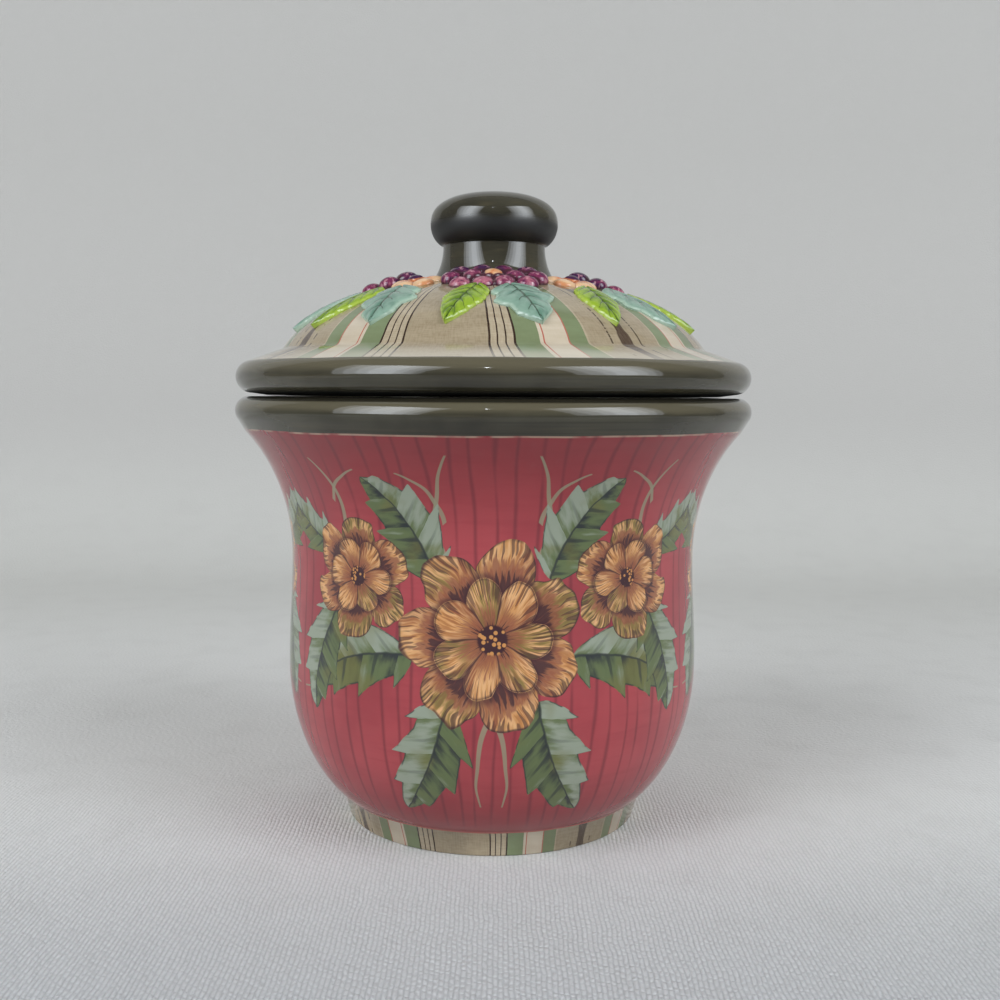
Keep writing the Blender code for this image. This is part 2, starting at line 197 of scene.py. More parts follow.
class Signal:
    """An output in a shader graph, whose operators and methods add the nodes that work on it."""

    __add__, __sub__ = operation("ADD"), operation("SUBTRACT")
    __rsub__, __rmul__ = operation("SUBTRACT", swapped=True), operation("MULTIPLY", swapped=True)
    __mul__, __truediv__, __pow__ = (operation(n) for n in ("MULTIPLY", "DIVIDE", "POWER"))
    __mod__, modulo, pingpong = (operation(n) for n in ("FLOORED_MODULO", "MODULO", "PINGPONG"))
    __abs__, floor, fract, round = (operation(n) for n in ("ABSOLUTE", "FLOOR", "FRACT", "ROUND"))
    most, least, root = operation("MAXIMUM"), operation("MINIMUM"), operation("SQRT")
    sine, cosine, arctan2 = operation("SINE"), operation("COSINE"), operation("ARCTAN2")
    degrees, radians = operation("DEGREES"), operation("RADIANS")

    def __init__(self, graph: "Graph", socket: bpy.types.NodeSocket) -> None:
        """Starts on one output of a node in the graph."""
        self.graph, self.socket = graph, socket

    def fade(self, low: object, high: object) -> "Signal":
        """Rises smoothly from 0 where the value is low to 1 where it is high."""
        return self.graph.take("MapRange", 0, (self, low, high), interpolation_type="SMOOTHSTEP")

    def mix(self, first: object, second: object, blend: str = "MIX") -> "Signal":
        """Blends two colours by this value.

        Args:
            first: The colour where the value is 0.
            second: The colour where the value is 1.
            blend: The Mix node's way of blending.

        Returns:
            The blended colour.
        """
        return self.graph.take(
            "Mix", 2, {0: self, 6: first, 7: second}, data_type="RGBA", blend_type=blend
        )

    def under(self, *coats: tuple["Signal", object]) -> "Signal":
        """Lays coats over this colour in turn.

        Args:
            coats: The mask and the colour of each coat.

        Returns:
            The colour with its coats.
        """
        colour = self
        for mask, coat in coats:
            colour = mask.mix(colour, coat)
        return colour

    def noise(self, scale: float, detail: float = 2.0) -> "Signal":
        """Smooth noise from 0 to 1 at a place."""
        return self.graph.take("TexNoise", 0, {"Vector": self, "Scale": scale, "Detail": detail})

    def chance(self) -> "Signal":
        """A value from 0 to 1 that differs from one whole number to the next."""
        return self.graph.take("TexWhiteNoise", "Value", {"W": self}, noise_dimensions="1D")

    def split(self) -> list["Signal"]:
        """The three numbers of a vector."""
        node = self.graph.add("SeparateXYZ", (self,))
        return [Signal(self.graph, socket) for socket in node.outputs]


class Graph:
    """Adds shader nodes to a tree and links them."""

    def __init__(self, tree: bpy.types.NodeTree) -> None:
        """Starts on a node tree."""
        self.tree = tree

    def feed(self, node: bpy.types.Node, values: tuple | dict) -> None:
        """Links a node's inputs to signals, or sets them to plain values.

        Args:
            node: The node.
            values: The values in the order of the inputs, or by the inputs' names or numbers.
        """
        for key, value in values.items() if isinstance(values, dict) else enumerate(values):
            if isinstance(value, Signal):
                self.tree.links.new(value.socket, node.inputs[key])
            else:
                node.inputs[key].default_value = value.value if isinstance(value, Paint) else value

    def add(self, kind: str, values: tuple | dict = (), **settings: object) -> bpy.types.Node:
        """Adds a node.

        Args:
            kind: The node's type without its ShaderNode prefix.
            values: What its inputs are fed with.
            settings: Values for the node's properties.

        Returns:
            The new node.
        """
        node = self.tree.nodes.new("ShaderNode" + kind)
        for name, value in settings.items():
            setattr(node, name, value)
        self.feed(node, values)
        return node

    def take(
        self, kind: str, output: int | str, values: tuple | dict = (), **settings: object
    ) -> Signal:
        """Adds a node and returns one of its outputs, by name or number."""
        return Signal(self, self.add(kind, values, **settings).outputs[output])


def graph_of(values: tuple) -> Graph:
    """The graph of the first signal among some values."""
    return next(value.graph for value in values if isinstance(value, Signal))


def vector(*numbers: object) -> Signal:
    """Joins two or three numbers, one at least a signal, into a vector."""
    return graph_of(numbers).take("CombineXYZ", 0, numbers)


class Effect(Graph):
    """A shader node group. Its inputs are numbers, and so are its outputs, but for Color."""

    def __init__(self, name: str) -> None:
        """Makes an empty group."""
        super().__init__(bpy.data.node_groups.new(name, "ShaderNodeTree"))

    def inputs(self, *names: str) -> list[Signal]:
        """Gives the group its inputs.

        Args:
            names: The inputs' names, in order.

        Returns:
            A signal for each input.
        """
        for name in names:
            self.tree.interface.new_socket(name=name, in_out="INPUT", socket_type="NodeSocketFloat")
        entry = self.tree.nodes.new("NodeGroupInput")
        return [Signal(self, entry.outputs[name]) for name in names]

    def close(self, **outputs: Signal) -> "Effect":
        """Gives the group its outputs.

        Args:
            outputs: The signal of each output, by its name.

        Returns:
            The group itself.
        """
        for name in outputs:
            kind = "NodeSocketColor" if name == "Color" else "NodeSocketFloat"
            self.tree.interface.new_socket(name=name, in_out="OUTPUT", socket_type=kind)
        self.feed(self.tree.nodes.new("NodeGroupOutput"), outputs)
        return self

    def on(self, *values: object) -> dict[str, Signal]:
        """Places the group in the graph of the first signal among the values for its inputs.

        Args:
            values: The values, in the order of the inputs.

        Returns:
            The group's outputs by name.
        """
        graph = graph_of(values)
        node = graph.add("Group", values, node_tree=self.tree)
        return {socket.name: Signal(graph, socket) for socket in node.outputs}


def bent(ahead: Signal, beside: Signal, bend: Signal) -> tuple[Signal, Signal]:
    """The place along a bent motif, held between 0 and 1, and the place beside its bow."""
    along = ahead.most(0.0).least(1.0)
    return along, along * (1.0 - along) * (bend * -4.0) + beside


class Effects:
    """The node groups that the canister's materials share.

    Whole numbers and whole repeats are added before a count to keep it from being negative.

    Attributes:
        frame: The inputs that say where a painted motif lies.
        spot: The inputs that say where a point of a turned piece lies.
        panel: The repeat of the stripes, in degrees.
        stripes_at: The bearing of a taupe panel's middle, in degrees.
        bands: Where each stripe starts, in degrees from a taupe panel's middle, and its paint.
        comb_pitch: The degrees from one combed line to the next.
        lobes: The number of lobes along each edge of a painted leaf.
    """

    frame = ("Across", "Up", "Centre", "Lift", "Turn", "Size")
    spot = ("Bearing", "Height", "Radius", "East", "South")
    panel, stripes_at = 90.0, -10.5
    bands = (
        (0.0, Paint.TAUPE), (10.0, Paint.DARK_LINE), (10.45, Paint.TAUPE_PALE),
        (11.9, Paint.DARK_LINE), (12.3, Paint.TAUPE_PALE), (13.8, Paint.DARK_LINE),
        (14.2, Paint.TAUPE_PALE), (15.7, Paint.DARK_LINE), (16.2, Paint.SAGE),
        (21.8, Paint.CREAM), (22.7, Paint.PINK_LINE), (23.1, Paint.CREAM),
        (28.9, Paint.PINK_LINE), (29.3, Paint.SAGE), (33.9, Paint.TAUPE_PALE), (34.3, Paint.TAUPE),
    )
    comb_pitch, lobes = 5.0, 3.4

    def __init__(self) -> None:
        """Builds every group."""
        self.place, self.stripes = self.build_place(), self.build_stripes()
        self.combed = self.build_combed()
        self.motif = self.build_motif()
        self.motifs = {
            "leaf": self.build_leaf(), "blossom": self.build_blossom(), "stem": self.build_stem()
        }
        self.ripple = self.build_ripple()

    def build_place(self) -> Effect:
        """The place on a turned piece, in degrees and mm, and its direction from the axis.

        Returns:
            The group, with its outputs Bearing, Height, Radius, East and South.
        """
        effect = Effect("place_on_turned")
        x, y, z = effect.inputs("X", "Y", "Z")
        front = y * -1.0
        radius = (y * y + x * x).root()
        return effect.close(
            Bearing=x.arctan2(front).degrees(), Height=z / MM, Radius=radius / MM,
            East=x / radius, South=front / radius,
        )

    def build_stripes(self) -> Effect:
        """Upright ticking stripes, mirrored about each taupe panel and four times round.

        Returns:
            The group, with its output Color.
        """
        effect = Effect("ticking_stripes")
        bearing, height, radius, *around = effect.inputs(*self.spot)
        down, half = radius - height, self.panel / 2
        wander = vector(*around, height * 0.05).noise(1.7)
        moved = wander * 1.4 + bearing - (self.stripes_at + 0.7)
        offset = (moved + 4 * self.panel).pingpong(half)
        ramp = effect.add("ValToRGB", (offset / half,))
        ramp.color_ramp.interpolation = "CONSTANT"
        stops = ramp.color_ramp.elements
        while len(stops) < len(self.bands):
            stops.new(1.0)
        for stop, (start, paint) in zip(stops, self.bands):
            stop.position, stop.color = start / half, paint.value

        along = vector(*around, down * 0.12).noise(3.0, 3.0)
        dash = abs(offset - 40.6).fade(0.32, 0.18) * along.fade(0.47, 0.5)
        swell = vector(*around, height).noise(0.22) * 2.4 + 42.1
        grain = vector(bearing, down * 0.1).noise(3.2, 3.0)
        streak = offset.fade(swell, swell + 0.35) * (grain * 0.5 + 0.62)
        ground = Signal(effect, ramp.outputs[0]).under(
            (dash * 0.85, Paint.DARK_LINE), (streak, Paint.UMBER)
        )

        warp = vector(bearing, down * 0.14).noise(2.2, 2.0)
        weft = vector(bearing * 0.14, down).noise(2.2, 2.0)
        wash = vector(*around, down * 0.05).noise(4.0, 4.0)
        threads = weft.fade(0.62, 0.36) * 0.5 + warp.fade(0.62, 0.36) * 0.5
        panels = offset.fade(16.4, 16.0).most(offset.fade(33.6, 34.2))
        dull = wash.fade(0.68, 0.32) * 0.2 + threads * (panels * 0.24 + 0.06)
        return effect.close(Color=dull.mix(ground, Paint.TAUPE, "MULTIPLY"))

    def build_combed(self) -> Effect:
        """Rose ground wiped on by brush, with darker lines combed down it every five degrees.

        Returns:
            The group, with its output Color.
        """
        effect = Effect("combed_rose")
        bearing, height, *around = effect.inputs("Bearing", "Height", "East", "South")
        broad = vector(*around, height * 0.016).noise(2.6, 3.0)
        wiped = vector(*around, height * 0.14).noise(3.2, 4.0)
        bottom, top = height.fade(30.0, 8.0), height.fade(84.0, 112.0) * 0.75
        wander = vector(*around, height * 0.006).noise(5.0, 1.0)
        phase = wander * 0.8 + bearing / self.comb_pitch + 80.0
        line = phase.floor() % (360.0 / self.comb_pitch)
        off = abs(phase.fract() - (line.chance() * 0.34 + 0.33))
        press = vector(line, height * 0.03).noise(1.7, 2.0)
        drawn = off.fade(press * 0.2 + 0.05, 0.0) * press.fade(0.22, 0.5) * height.fade(8.0, 13.0)
        return effect.close(Color=broad.fade(0.35, 0.68).mix(Paint.ROSE, Paint.ROSE_DEEP).under(
            (wiped.fade(0.45, 0.7) * 0.35, Paint.ROSE_DEEP),
            (bottom.most(top) * 0.85, Paint.ROSE_BROWN),
            (drawn * 0.6, Paint.ROSE_COMB),
        ))

    def build_motif(self) -> Effect:
        """The frame of a painted motif.

        Returns:
            The group, with its outputs Along and Side, counted from the motif's centre as shares of
            its size.
        """
        effect = Effect("motif_frame")
        across, up, centre, lift, turn, size = effect.inputs(*self.frame)
        dx, dz, turn = across - centre, up - lift, turn.radians()
        cosine, sine = turn.cosine(), turn.sine()
        return effect.close(
            Along=(dx * cosine + dz * sine) / size, Side=(dz * cosine - dx * sine) / size
        )

    def build_leaf(self) -> Effect:
        """A painted leaf with pointed lobes, shaded from each side vein to the next.

        Returns:
            The group, with its outputs Color and Mask.
        """
        effect = Effect("painted_leaf")
        *frame, fullness, bend, seed = effect.inputs(*self.frame, "Fullness", "Bend", "Seed")
        ahead, beside = self.motif.on(*frame).values()
        spread = seed * 7.0
        waver = vector(ahead, beside, spread).noise(9.0)
        along, side = bent(ahead, beside, bend)
        side = waver * 0.03 + side - 0.015
        out_by = abs(side)
        upper = side.fade(-0.004, 0.004)

        cells = (out_by * -0.55 + ahead) * self.lobes + (upper * 0.4 + seed)
        cell = (cells + 8.0).fract()
        point = cell**2.4 * cell.fade(1.0, 0.9)
        width = along**0.55 * (1.0 - along) ** 0.75
        width = width * (point * 1.1 + 1.75) * fullness
        inside = width - out_by
        share = out_by / width.most(0.01)

        brush = vector(cells * 2.2, share * 0.5, spread).noise(2.6, 4.0)
        tone = share.fade(0.5, 0.0) * -0.2 + (brush * 0.8 + cell * 0.34)
        tone = upper * 0.42 + tone
        mossy = vector(ahead, beside, spread).noise(2.6)
        breadth = share * -0.07 + 0.1
        vein = abs(cell - 0.6).fade(breadth, breadth * 0.4)
        vein = vein * share.fade(0.95, 0.45) * (upper * -0.55 + 1.0)
        rib = out_by.fade(along * -0.012 + 0.018, 0.003)
        edge = inside.fade(0.022, 0.01) * waver.fade(0.4, 0.52)
        colour = tone.fade(0.2, 0.62).mix(Paint.LEAF_DARK, Paint.LEAF_MID).under(
            (tone.fade(0.66, 1.05), Paint.LEAF_PALE),
            (mossy.fade(0.5, 0.66) * 0.6, Paint.MOSS),
            ((vein * 0.8).most(rib).most(edge) * 0.85, Paint.LEAF_DARK),
        )
        return effect.close(Color=colour, Mask=inside.fade(0.0, 0.008))

    def build_blossom(self) -> Effect:
        """A painted open blossom: two rows of ochre petals, dry-brushed in rust, plum and moss.

        Returns:
            The group, with its outputs Color and Mask.
        """
        effect = Effect("painted_blossom")
        *frame, count, seed = effect.inputs(*self.frame, "Petals", "Seed")
        along, side = self.motif.on(*frame).values()
        seed = seed * 5.0
        spot = vector(along, side, seed)
        wobble = spot.noise(1.6)
        reach = (along * along + side * side).root() * (wobble * 0.42 + 0.8)
        angle = side.arctan2(along) / (2 * math.pi)
        petals = wobble * 0.5 + (angle * count + 20.0)

        def row(turned: float, outer: float) -> tuple[Signal, Signal, Signal]:
            """A row of petals.

            Args:
                turned: Its turn, as a share of a petal.
                outer: How far out its petals reach.

            Returns:
                The way in from its edge, the place across a petal and the petal's number.
            """
            where = petals + turned
            middle = where.fract() - 0.5
            edge = (abs(middle) * 2.0) ** 2.6 * (-0.28 * outer) + outer
            return edge - reach, middle, where.floor()

        back, back_side, back_index = row(0.0, 1.0)
        fore, fore_side, fore_index = row(0.5, 0.64)
        on_fore = fore.fade(0.0, 0.012)

        def picked(first: object, second: object) -> Signal:
            """The second value on the front row and the first behind it."""
            return (second - first) * on_fore + first

        inside, across = picked(back, fore), picked(back_side, fore_side)
        chance = (on_fore * 9.0 + picked(back_index, fore_index) % count + seed).chance()
        streak = vector(petals * 6.5, reach * 1.3, seed).noise(2.4, 4.0)
        coarse = spot.noise(2.2)
        brushed = inside * picked(2.7, 1.9) * 0.72 + streak
        green = chance * 0.5 + coarse * 0.7
        tick = vector(petals * 8.0, reach * 0.5, seed).noise(2.6, 1.0)
        fringe = (tick - 0.5) * 0.7 + (chance * 0.09 + 0.06)
        rubbed = across.fade(0.1, 0.5) * -0.3 + streak
        seam = abs(across).fade(0.43, 0.485) * inside.fade(0.02, 0.1)
        rim = inside.fade(0.04, 0.014) * coarse.fade(0.36, 0.5)
        under = fore.fade(-0.07, -0.01) * (1.0 - on_fore)
        spots = effect.take("TexVoronoi", "Distance", {"Vector": spot, "Scale": 17.0})
        colour = streak.fade(0.38, 0.62).mix(Paint.OCHRE, Paint.APRICOT).under(
            ((across * 0.9 + streak).fade(0.5, 0.1) * 0.7, Paint.RUST),
            (green.fade(0.62, 0.74) * streak.fade(0.64, 0.4) * 0.85, Paint.MOSS),
            (brushed.fade(0.84, 0.98) * 0.8, Paint.RUST),
            (brushed.fade(1.1, 1.22) * 0.9, Paint.PLUM_STROKE),
            (inside.fade(fringe, fringe - 0.03) * tick.fade(0.48, 0.54) * 0.7, Paint.PLUM_STROKE),
            (rubbed.fade(0.46, 0.36) * inside.fade(0.0, 0.16) * 0.4, Paint.RUST),
            (seam.most(rim).most(under * 0.7) * 0.85, Paint.PLUM_STROKE),
            (reach.fade(0.17, 0.14), spots.fade(0.42, 0.3).mix(Paint.PLUM_STROKE, Paint.OCHRE)),
        )
        return effect.close(Color=colour, Mask=back.fade(0.0, 0.01))

    def build_stem(self) -> Effect:
        """A thin painted twig that thins out from its foot and wavers on its way.

        Returns:
            The group, with its output Mask.
        """
        effect = Effect("painted_stem")
        *frame, thick, bend = effect.inputs(*self.frame, "Width", "Bend")
        _, _, centre, _, _, size = frame
        ahead, beside = self.motif.on(*frame).values()
        along, side = bent(ahead, beside, bend)
        waver = vector(ahead, centre, size).noise(2.4, 0.0)
        width = thick * (along * -0.7 + 1.0)
        line = abs(waver * 0.12 + side - 0.06).fade(width, width * 0.7)
        ends = ahead.fade(0.0, 0.01) * ahead.fade(1.0, 0.98)
        return effect.close(Mask=line * (ends * 0.8))

    def build_ripple(self) -> Effect:
        """The surface of a fired glaze: slow ripples and a fine orange peel.

        Returns:
            The group, with its outputs Height and Roughness.
        """
        effect = Effect("glaze_ripple")
        where = vector(*effect.inputs("X", "Y", "Z"))
        slow, peel, worn = where.noise(55.0, 1.0), where.noise(420.0, 1.0), where.noise(160.0, 3.0)
        return effect.close(Height=peel * 0.03 + slow, Roughness=worn * 0.05 - 0.025)


class Surface(Graph):
    """A material under construction: its graph, the place of each point and its Principled node."""

    def __init__(self, name: str) -> None:
        """Makes the material.

        Args:
            name: The material's name.
        """
        self.material = bpy.data.materials.new(name)
        self.material.use_nodes = True
        super().__init__(self.material.node_tree)
        self.principled = self.tree.nodes["Principled BSDF"]
        self.spot = self.take("TexCoord", "Object")
        self.axes = self.spot.split()

    def close(
        self, colour: Signal, rough: object, relief: Signal, strength: float, depth: float
    ) -> Material:
        """Lays on the colour and the relief.

        Args:
            colour: The base colour.
            rough: The roughness.
            relief: The height of the bumps.
            strength: How strongly they show.
            depth: The height in metres that 1 stands for.

        Returns:
            The finished material.
        """
        bump = {"Strength": strength, "Distance": depth, "Height": relief}
        normal = self.take("Bump", 0, bump)
        self.feed(self.principled, {"Base Color": colour, "Roughness": rough, "Normal": normal})
        return self.material


class Finish(Surface):
    """A glazed, bare or rubber surface of the canister, with its place on the turned piece."""

    def __init__(self, name: str, effects: Effects, glaze: Glaze) -> None:
        """Makes the material with the glaze's ripples and gloss.

        Args:
            name: The material's name.
            effects: The shared node groups.
            glaze: The glaze that covers it.
        """
        super().__init__(name)
        self.effects, self.glaze = effects, glaze
        self.feed(self.principled, {"IOR": glaze.ior})
        self.bearing, self.height, self.radius, *self.way = effects.place.on(*self.axes).values()
        self.relief, uneven = effects.ripple.on(*self.axes).values()
        self.rough = uneven + glaze.roughness

    def around(self, scale: float, rise: float) -> Signal:
        """A place for noise that meets itself round the back of a turned piece.

        Args:
            scale: How fast it changes with the bearing.
            rise: How fast it changes with each mm of height.

        Returns:
            The place as a vector.
        """
        return vector(*(way * scale for way in self.way), self.height * rise)

    def attribute(self, name: str, output: str = "Fac") -> Signal:
        """A value that the mesh keeps at each of its points."""
        return self.take("Attribute", output, attribute_name=name)

    def dull(self, mask: Signal, by: float) -> None:
        """Takes the gloss off where a mask is set, as thin glaze does in a hollow."""
        self.rough = mask * by + self.rough

    def striped(self, twist: float = 0.0, straight_r: float = 68.0) -> Signal:
        """The ticking stripes on this piece.

        Args:
            twist: How far they turn for each mm from the axis, in degrees.
            straight_r: The radius in mm at which they aren't turned.

        Returns:
            Their colour.
        """
        bearing = self.bearing
        if twist:
            bearing = self.radius * -twist + bearing + straight_r * twist
        return self.effects.stripes.on(bearing, self.height, self.radius, *self.way)["Color"]

    def olive(
        self, hollow: Point | None = None, crest: Point | None = None, dulled: float = 0.0
    ) -> Signal:
        """The dark olive of the knob and both rims, brushed on in uneven coats.

        Args:
            hollow: Two heights in mm, between which painted shade darkens the glaze to near black.
            crest: Two heights in mm, between which the glaze thins to a lighter tone.
            dulled: How much rougher the shaded band is.

        Returns:
            The colour.
        """
        cloud, brush = self.spot.noise(38.0, 3.0), self.around(2.2, 0.6).noise(1.0, 3.0)
        stroke = self.around(1.4, 1.5).noise(1.0, 3.0)
        colour = cloud.fade(0.4, 0.7).mix(Paint.OLIVE, Paint.OLIVE_DEEP).under(
            (brush.fade(0.5, 0.75) * 0.4, Paint.OLIVE_WARM),
            (stroke.fade(0.5, 0.3) * 0.5, Paint.OLIVE_DEEP),
        )
        if crest:
            thin = (brush - 0.5) * 2.0 + self.height
            colour = thin.fade(*crest).mix(colour, Paint.OLIVE_THIN)
        # Painted shade: near black between the two heights given as hollow.
        if hollow:
            painted_shade = self.height.fade(*hollow)
            colour = (painted_shade * 0.8).mix(colour, Paint.PAINTED_SHADE)
            self.dull(painted_shade, dulled)
        return colour

    def ivory(self) -> Signal:
        """The finely specked ivory of both insides."""
        speck = self.spot.noise(900.0, 2.0).fade(0.68, 0.74)
        return (speck * 0.35).mix(Paint.IVORY, Paint.TAUPE)

    def finish(self, colour: Signal) -> Material:
        """Lays the colour under the glaze and closes the surface with its ripples."""
        return self.close(colour, self.rough, self.relief, self.glaze.ripple, 1.0 * MM)


def arc(centre: Point, radii: Point, start: float, end: float, steps: int) -> list[Point]:
    """Points on an elliptical arc, by angle in degrees.

    Args:
        centre: The ellipse's centre (r, z).
        radii: Its half width and half height.
        start: The first angle, from +r towards +z.
        end: The last angle.
        steps: The number of straight runs.

    Returns:
        The points (r, z) in order.
    """
    angles = [math.radians(start + (end - start) * i / steps) for i in range(steps + 1)]
    return [
        (centre[0] + radii[0] * math.cos(a), centre[1] + radii[1] * math.sin(a)) for a in angles
    ]


def bow(upright: Point, far: Point, reach: float, steps: int) -> list[Point]:
    """Points on the elliptical arc that leaves one point upright and ends at another.

    Args:
        upright: The point where the curve runs straight up.
        far: The other end.
        reach: The ellipse's half height over the arc's rise.
        steps: The number of straight runs.

    Returns:
        The points (r, z) from upright to far.
    """
    end = math.asin(1 / reach)
    half_width = (far[0] - upright[0]) / (math.cos(end) - 1)
    half_height = reach * (far[1] - upright[1])
    turns = [end * i / steps for i in range(steps + 1)]
    return [
        (upright[0] + half_width * (math.cos(t) - 1), upright[1] + half_height * math.sin(t))
        for t in turns
    ]


def ease(start: Point, end: Point, steps: int) -> list[Point]:
    """Points of an S-curve from start to end that is upright at both.

    Args:
        start: The first point (r, z).
        end: The last point (r, z).
        steps: The number of straight runs.

    Returns:
        The points (r, z) in order.
    """
    shares = [i / steps for i in range(steps + 1)]
    return [
        (
            start[0] + (end[0] - start[0]) * (1 - math.cos(math.pi * s)) / 2,
            start[1] + (end[1] - start[1]) * s,
        )
        for s in shares
    ]


@dataclass
class Stretch:
    """A run of a turned section, with the index of the material that covers it."""

    points: list[Point]
    slot: int = 0


def lathe(
    name: str, stretches: list[Stretch], steps: int, materials: list[Material]
) -> bpy.types.Object:
    """Turns a section about the Z axis into one closed, welded piece.

    Args:
        name: The piece's name.
        stretches: The runs of the section, each starting where the one before ends.
        steps: The number of segments round.
        materials: The piece's materials, in slot order.

    Returns:
        The new object at the origin.
    """
    form = bmesh.new()
    for stretch in stretches:
        before = set(form.faces)
        corners = [form.verts.new((r, 0, z)) for r, z in stretch.points]
        edges = [form.edges.new(pair) for pair in zip(corners, corners[1:])]
        bmesh.ops.spin(
            form, geom=corners + edges, cent=(0, 0, 0), axis=(0, 0, 1), angle=2 * math.pi,
            steps=steps, use_merge=True,
        )
        for face in set(form.faces) - before:
            face.material_index = stretch.slot
    bmesh.ops.remove_doubles(form, verts=form.verts, dist=WELD)
    bmesh.ops.dissolve_degenerate(form, edges=form.edges, dist=WELD)
    bmesh.ops.recalc_face_normals(form, faces=form.faces)
    return as_piece(name, form, materials)


def linked(name: str, data: bpy.types.ID) -> bpy.types.Object:
    """Makes an object and links it to the scene.

    Args:
        name: The object's name.
        data: Its mesh, light or camera.

    Returns:
        The new object.
    """
    item = bpy.data.objects.new(name, data)
    bpy.context.scene.collection.objects.link(item)
    return item


def as_piece(name: str, form: Form, materials: list[Material]) -> bpy.types.Object:
    """Closes a bmesh into a smooth-shaded object at the origin and links it to the scene.

    Args:
        name: The piece's name.
        form: Its form, which is freed.
        materials: Its materials, in slot order.

    Returns:
        The new object.
    """
    mesh = bpy.data.meshes.new(name)
    form.to_mesh(mesh)
    form.free()
    mesh.shade_smooth()
    mesh.set_sharp_from_angle(angle=SHARP)
    for material in materials:
        mesh.materials.append(material)
    return linked(name, mesh)


def trim(form: Form, at: Size, along: Size) -> None:
    """Cuts off what lies behind a plane and closes the cut.

    Args:
        form: The closed form that is cut.
        at: A point of the plane.
        along: The direction from it towards what stays.
    """
    bmesh.ops.bisect_plane(
        form, geom=form.verts[:] + form.edges[:] + form.faces[:], dist=WELD,
        plane_co=at, plane_no=along, clear_inner=True,
    )
    bmesh.ops.holes_fill(form, edges=form.edges, sides=0)
    bmesh.ops.recalc_face_normals(form, faces=form.faces)


def settle(piece: bpy.types.Object, body: str, slot: str, *nodes: str) -> None:
    """Rides a piece on its body and hides the nodes that it stands for.

    Args:
        piece: The piece.
        body: The body that it moves with.
        slot: The name of its finish. It is not used.
        nodes: The nodes that it stands for.
    """
    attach(piece, body)
    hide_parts(*nodes)
    log.info("%s rides on %s with %d faces", piece.name, body, len(piece.data.polygons))


def bare_clay(effects: Effects, name: str) -> Material:
    """Fired clay without glaze: pale, dry and finely pitted.

    Args:
        effects: The shared node groups.
        name: The material's name.

    Returns:
        The material.
    """
    finish = Finish(name, effects, DRY_CLAY)
    grit = finish.spot.noise(1500.0, 3.0)
    finish.relief = grit * 0.2
    return finish.finish(grit.fade(0.35, 0.7).mix(Paint.CLAY, Paint.TAUPE_PALE))


